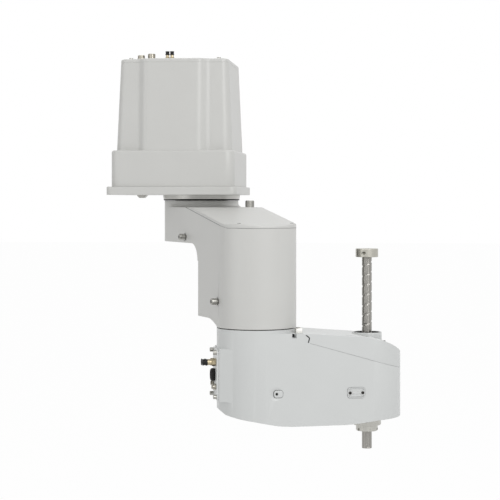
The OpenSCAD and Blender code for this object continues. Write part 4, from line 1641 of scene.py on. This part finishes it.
    def plugs(self) -> None:
        """Build the tongue with its black plug on both side walls."""
        rear, front, half = -5.6 * MM, 12.4 * MM, 7 * MM

        def tongue() -> Solid:
            """Return the tongue, which reaches ahead of its plug."""
            return slab(rectangle(rear, front, -half, half, 5 * MM), -2.2 * MM, 0.6 * MM, 0.1 * MM,
                        0.5 * MM)

        def shade_gap(gap: float = 0.5 * MM) -> Solid:
            """Return a black ring of painted shade in the gap round the tongue."""
            outline = rectangle(rear - gap, front + gap, -half - gap, half + gap, 5.4 * MM)
            return slab(outline, -2.1 * MM, 0.1 * MM, 0.1 * MM, 0.1 * MM)

        def cap() -> Solid:
            """Return the plug with its dimple."""
            return lathe([(0, 0.5), (2.6, 0.5), (2.6, 1.1), (2.2, 1.5), (1.6, 1.5), (1.2, 0.9),
                          (0, 0.9)], 40, MM)

        self.piece("plug_tongues", self.on_both_walls(self.plug, tongue))
        # A black ring: painted shade in the gap round the tongue.
        self.piece("plug_shade_gaps", self.on_both_walls(self.plug, shade_gap), finish=BLACK)
        self.piece("plug_caps", self.on_both_walls(self.plug, cap), "service_plug", finish=BLACK)

    def flange(self) -> None:
        """Build the flange that holds the spline nut under the arm."""
        bottom, top = heights("nut_flange")
        r, hole, edge = 28.5 * MM, 22.5 * MM, 1.2 * MM
        profile = [(hole, bottom), (r - edge, bottom), (r, bottom + edge), (r, top), (hole, top),
                   (hole, bottom)]
        self.piece("nut_flange_ring", lathe(profile, 96), "nut_flange", finish=FLANGE, place=AT_SPINDLE)

    def build(self) -> None:
        """Build every piece of the outer arm."""
        for make in (self.casting, self.cover, self.boss, self.stop, self.panel, self.seams,
                     self.hatches, self.plugs, self.flange):
            make()


@dataclass
class SplineNut(Assembly):
    """The nut that turns the spindle; only its lower face shows.

    Args:
        radius: radius of the nut.
        hole: radius of the hole that the spindle runs in.
        slot: half width of the slots round its rim.
    """

    place = AT_SPINDLE
    body = Body.NUT
    main = FLANGE
    radius: float = 22 * MM
    hole: float = 10.05 * MM
    slot: float = 2.5 * MM

    def build(self) -> None:
        """Build the nut with its sealing lip and the slots round its rim."""
        bottom, top = heights("spline_nut")
        r, hole = self.radius, self.hole
        profile = [(hole, bottom + 0.6 * MM), (hole + 0.6 * MM, bottom), (r - 1.5 * MM, bottom),
                   (r, bottom + 1.5 * MM), (r, top), (hole, top), (hole, bottom + 0.6 * MM)]
        slots = []
        for a in (2 * math.pi * (k + 0.5) / 6 for k in range(6)):
            cutter = brick(-self.slot, self.slot, self.slot, bottom - 1 * MM, bottom + 6 * MM)
            slots.append(moved(cutter, Vector((r * math.cos(a), r * math.sin(a), 0.0)), UP, a))
        self.piece("spline_nut_body", bored(lathe(profile, 96), slots), "spline_nut")


@dataclass
class Spindle(Assembly):
    """The lifting and turning shaft with its stop collar.

    Args:
        radius: radius of the shaft.
        bore: radius of the hole through it.
        collar_radius: radius of the collar.
        slot_heading: heading of the collar's split from the outer arm, in radians.
    """

    place = AT_SPINDLE
    body = Body.SPINDLE
    main = GROUND
    radius: float = 10 * MM
    bore: float = 5.5 * MM
    collar_radius: float = 22.75 * MM
    slot_heading: float = math.radians(200)

    def shaft(self) -> None:
        """Grow the shaft with its screw groove and its straight grooves."""
        bottom, top = heights("spindle_shaft")
        self.grown("shaft", shaft_tree(), [(Vector(), UP)], "spindle_shaft", crease=40,
                   Radius=self.radius, Bore=self.bore, Bottom=bottom, Top=top,
                   Groove_From=-150 * MM, Lead=20 * MM, Groove_Width=4.5 * MM, Groove_Depth=1.1 * MM)

    def collar(self) -> None:
        """Build the split stop collar and its clamping screw."""
        bottom, top = heights("spindle_collar")
        ring = lathe(turned(self.collar_radius, bottom, top, 0.8 * MM, self.radius), 96)
        split = brick(8 * MM, 30 * MM, 1 * MM, bottom - 1 * MM, top + 1 * MM)
        moved(split, Vector(), UP, self.slot_heading)
        turn = Matrix.Rotation(self.slot_heading, 3, "Z")
        seat = turn @ Vector((17 * MM, 7 * MM, 0.0)) + Vector((0, 0, (bottom + top) / 2))
        way = turn @ Vector((0.0, 1.0, 0.0))
        counterbore = moved(lathe(turned(3 * MM, 0.0, 40 * MM, 0.0), 32), seat, way)
        self.piece("stop_collar", bored(ring, [split, counterbore]), "spindle_collar", finish=MILLED)
        self.screws("collar_clamp_screw", [(seat, way)], Screw(2.75 * MM, 5 * MM, 1.5 * MM),
                    "collar_screw")

    def build(self) -> None:
        """Build every piece of the spindle."""
        self.shaft()
        self.collar()


@dataclass
class HiddenDrives:
    """The drive rings and the screw nut, whose solids stay and only get their finish."""

    nodes: tuple[str, ...] = ("shoulder_drive", "elbow_drive", "screw_nut")

    def build(self) -> None:
        """Give each kept solid its finish."""
        for name in self.nodes:
            kept = frame["nodes"][name]
            kept.data.materials.clear()
            kept.data.materials.append(BEARING.material())
            LOG.info("%s: kept", name)


# ------------------------------------------------------------------ studio

def seen(tree: Tree) -> Node:
    """Tell the rays of the eye, of glossy metal and of clear parts from those of the light.

    Args:
        tree: the node tree.

    Returns:
        A node that gives 1 for the first and 0 for the others.
    """
    path = add(tree, "ShaderNodeLightPath").outputs
    mirrored = add(tree, "ShaderNodeMath", {0: path["Is Camera Ray"], 1: path["Is Glossy Ray"]},
                   operation="MAXIMUM")
    return add(tree, "ShaderNodeMath", {0: mirrored, 1: path["Is Transmission Ray"]},
               operation="MAXIMUM")


@dataclass(frozen=True)
class Lamp:
    """A square soft lamp.

    Args:
        name: its name.
        spot: where it hangs.
        size: its side, in metres.
        power: its power, in watts.
    """

    name: str
    spot: tuple[float, float, float]
    size: float
    power: float

    def hang(self, aim: Vector) -> None:
        """Hang the lamp so that it looks at a point.

        Args:
            aim: the point.
        """
        light = bpy.data.lights.new(self.name, "AREA")
        light.size = self.size
        light.energy = self.power
        made = bpy.data.objects.new(self.name, light)
        made.location = self.spot
        made.rotation_euler = (aim - Vector(self.spot)).to_track_quat("-Z", "Y").to_euler()
        bpy.context.scene.collection.objects.link(made)


@dataclass
class Studio:
    """The pale floor, the soft lamps and the camera.

    Args:
        floor_gap: distance of the floor below the robot.
        floor_reach: half the side of the floor.
        glow: share of the floor's colour that lies on it whatever the light.
        world: strength of the even light from all round.
        lamps: the soft lamps.
        aim: the point that they look at.
        heading: turn of the camera's view from the robot's Y axis, in radians.
        beside: distance of the camera to the right of the shoulder axis.
        away: distance of the camera in front of the shoulder axis.
        shift: how far the view is moved down, as a share of its width.
    """

    floor_gap: float = 0.45
    floor_reach: float = 30.0
    glow: float = 0.975
    world: float = 0.47
    lamps: tuple[Lamp, ...] = (Lamp("key_lamp", (1.7, -2.6, 1.2), 1.6, 42),
                               Lamp("fill_lamp", (-2.4, -2.0, 0.4), 2.0, 12),
                               Lamp("top_lamp", (0.2, 0.4, 2.6), 2.4, 22))
    aim: tuple[float, float, float] = (0.05, -0.1, -0.2)
    heading: float = math.radians(6.0)
    beside: float = 0.1066
    away: float = 3.303
    shift: float = -0.1

    def backdrop_material(self) -> bpy.types.Material:
        """Return a white that stays white to the eye and to glossy metal, but takes a shadow."""
        made = bpy.data.materials.new("white_backdrop_paper")
        made.use_nodes = True
        tree = made.node_tree
        tree.nodes.clear()
        paper = add(tree, "ShaderNodeBsdfDiffuse", {"Color": linear("#f4f4f4")})
        light = add(tree, "ShaderNodeEmission", {"Color": (1, 1, 1, 1), "Strength": 1.0})
        share = add(tree, "ShaderNodeMath", {0: seen(tree), 1: self.glow}, operation="MULTIPLY")
        both = add(tree, "ShaderNodeMixShader", {0: share, 1: paper, 2: light})
        add(tree, "ShaderNodeOutputMaterial", {"Surface": both})
        return made

    def floor(self) -> None:
        """Lay a wide plain floor below the robot."""
        level, reach = CAD_BOX[0][2] - self.floor_gap, self.floor_reach
        mesh = bpy.data.meshes.new("floor")
        mesh.from_pydata([(-reach, -reach, level), (reach, -reach, level), (reach, reach, level),
                          (-reach, reach, level)], [], [(0, 1, 2, 3)])
        mesh.materials.append(self.backdrop_material())
        made = bpy.data.objects.new("floor", mesh)
        bpy.context.scene.collection.objects.link(made)

    def lights(self) -> None:
        """Hang the lamps and set the world."""
        for lamp in self.lamps:
            lamp.hang(Vector(self.aim))
        world = bpy.data.worlds.new("studio_air")
        bpy.context.scene.world = world
        world.use_nodes = True
        tree = world.node_tree
        tree.nodes.clear()
        strength = add(tree, "ShaderNodeMapRange", {
            "Value": seen(tree), "To Min": self.world, "To Max": 1.0})
        air = add(tree, "ShaderNodeBackground", {"Color": (1, 1, 1, 1), "Strength": strength})
        add(tree, "ShaderNodeOutputWorld", {"Surface": air})
        bpy.context.scene.view_settings.view_transform = "Standard"

    def camera(self) -> None:
        """Stand the camera in front of the robot, level with its shoulder."""
        lens = bpy.data.cameras.new("camera")
        lens.sensor_width = 36.0
        lens.lens = 108.0
        lens.shift_y = self.shift
        made = bpy.data.objects.new("camera", lens)
        right = Vector((math.cos(self.heading), math.sin(self.heading), 0.0))
        ahead = Vector((-math.sin(self.heading), math.cos(self.heading), 0.0))
        made.location = SHOULDER_POINT + right * self.beside - ahead * self.away
        made.rotation_euler = ahead.to_track_quat("-Z", "Y").to_euler()
        bpy.context.scene.collection.objects.link(made)
        bpy.context.scene.camera = made

    def build(self) -> None:
        """Build the studio."""
        self.floor()
        self.lights()
        self.camera()


def main() -> None:
    """Build the robot and its studio."""
    logging.basicConfig(level=logging.INFO)
    for part in (Base(), InnerArm(), OuterArm(), SplineNut(), Spindle(), HiddenDrives(), Studio()):
        LOG.info("building %s", type(part).__name__)
        part.build()
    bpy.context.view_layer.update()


if __name__ == "__main__":
    main()
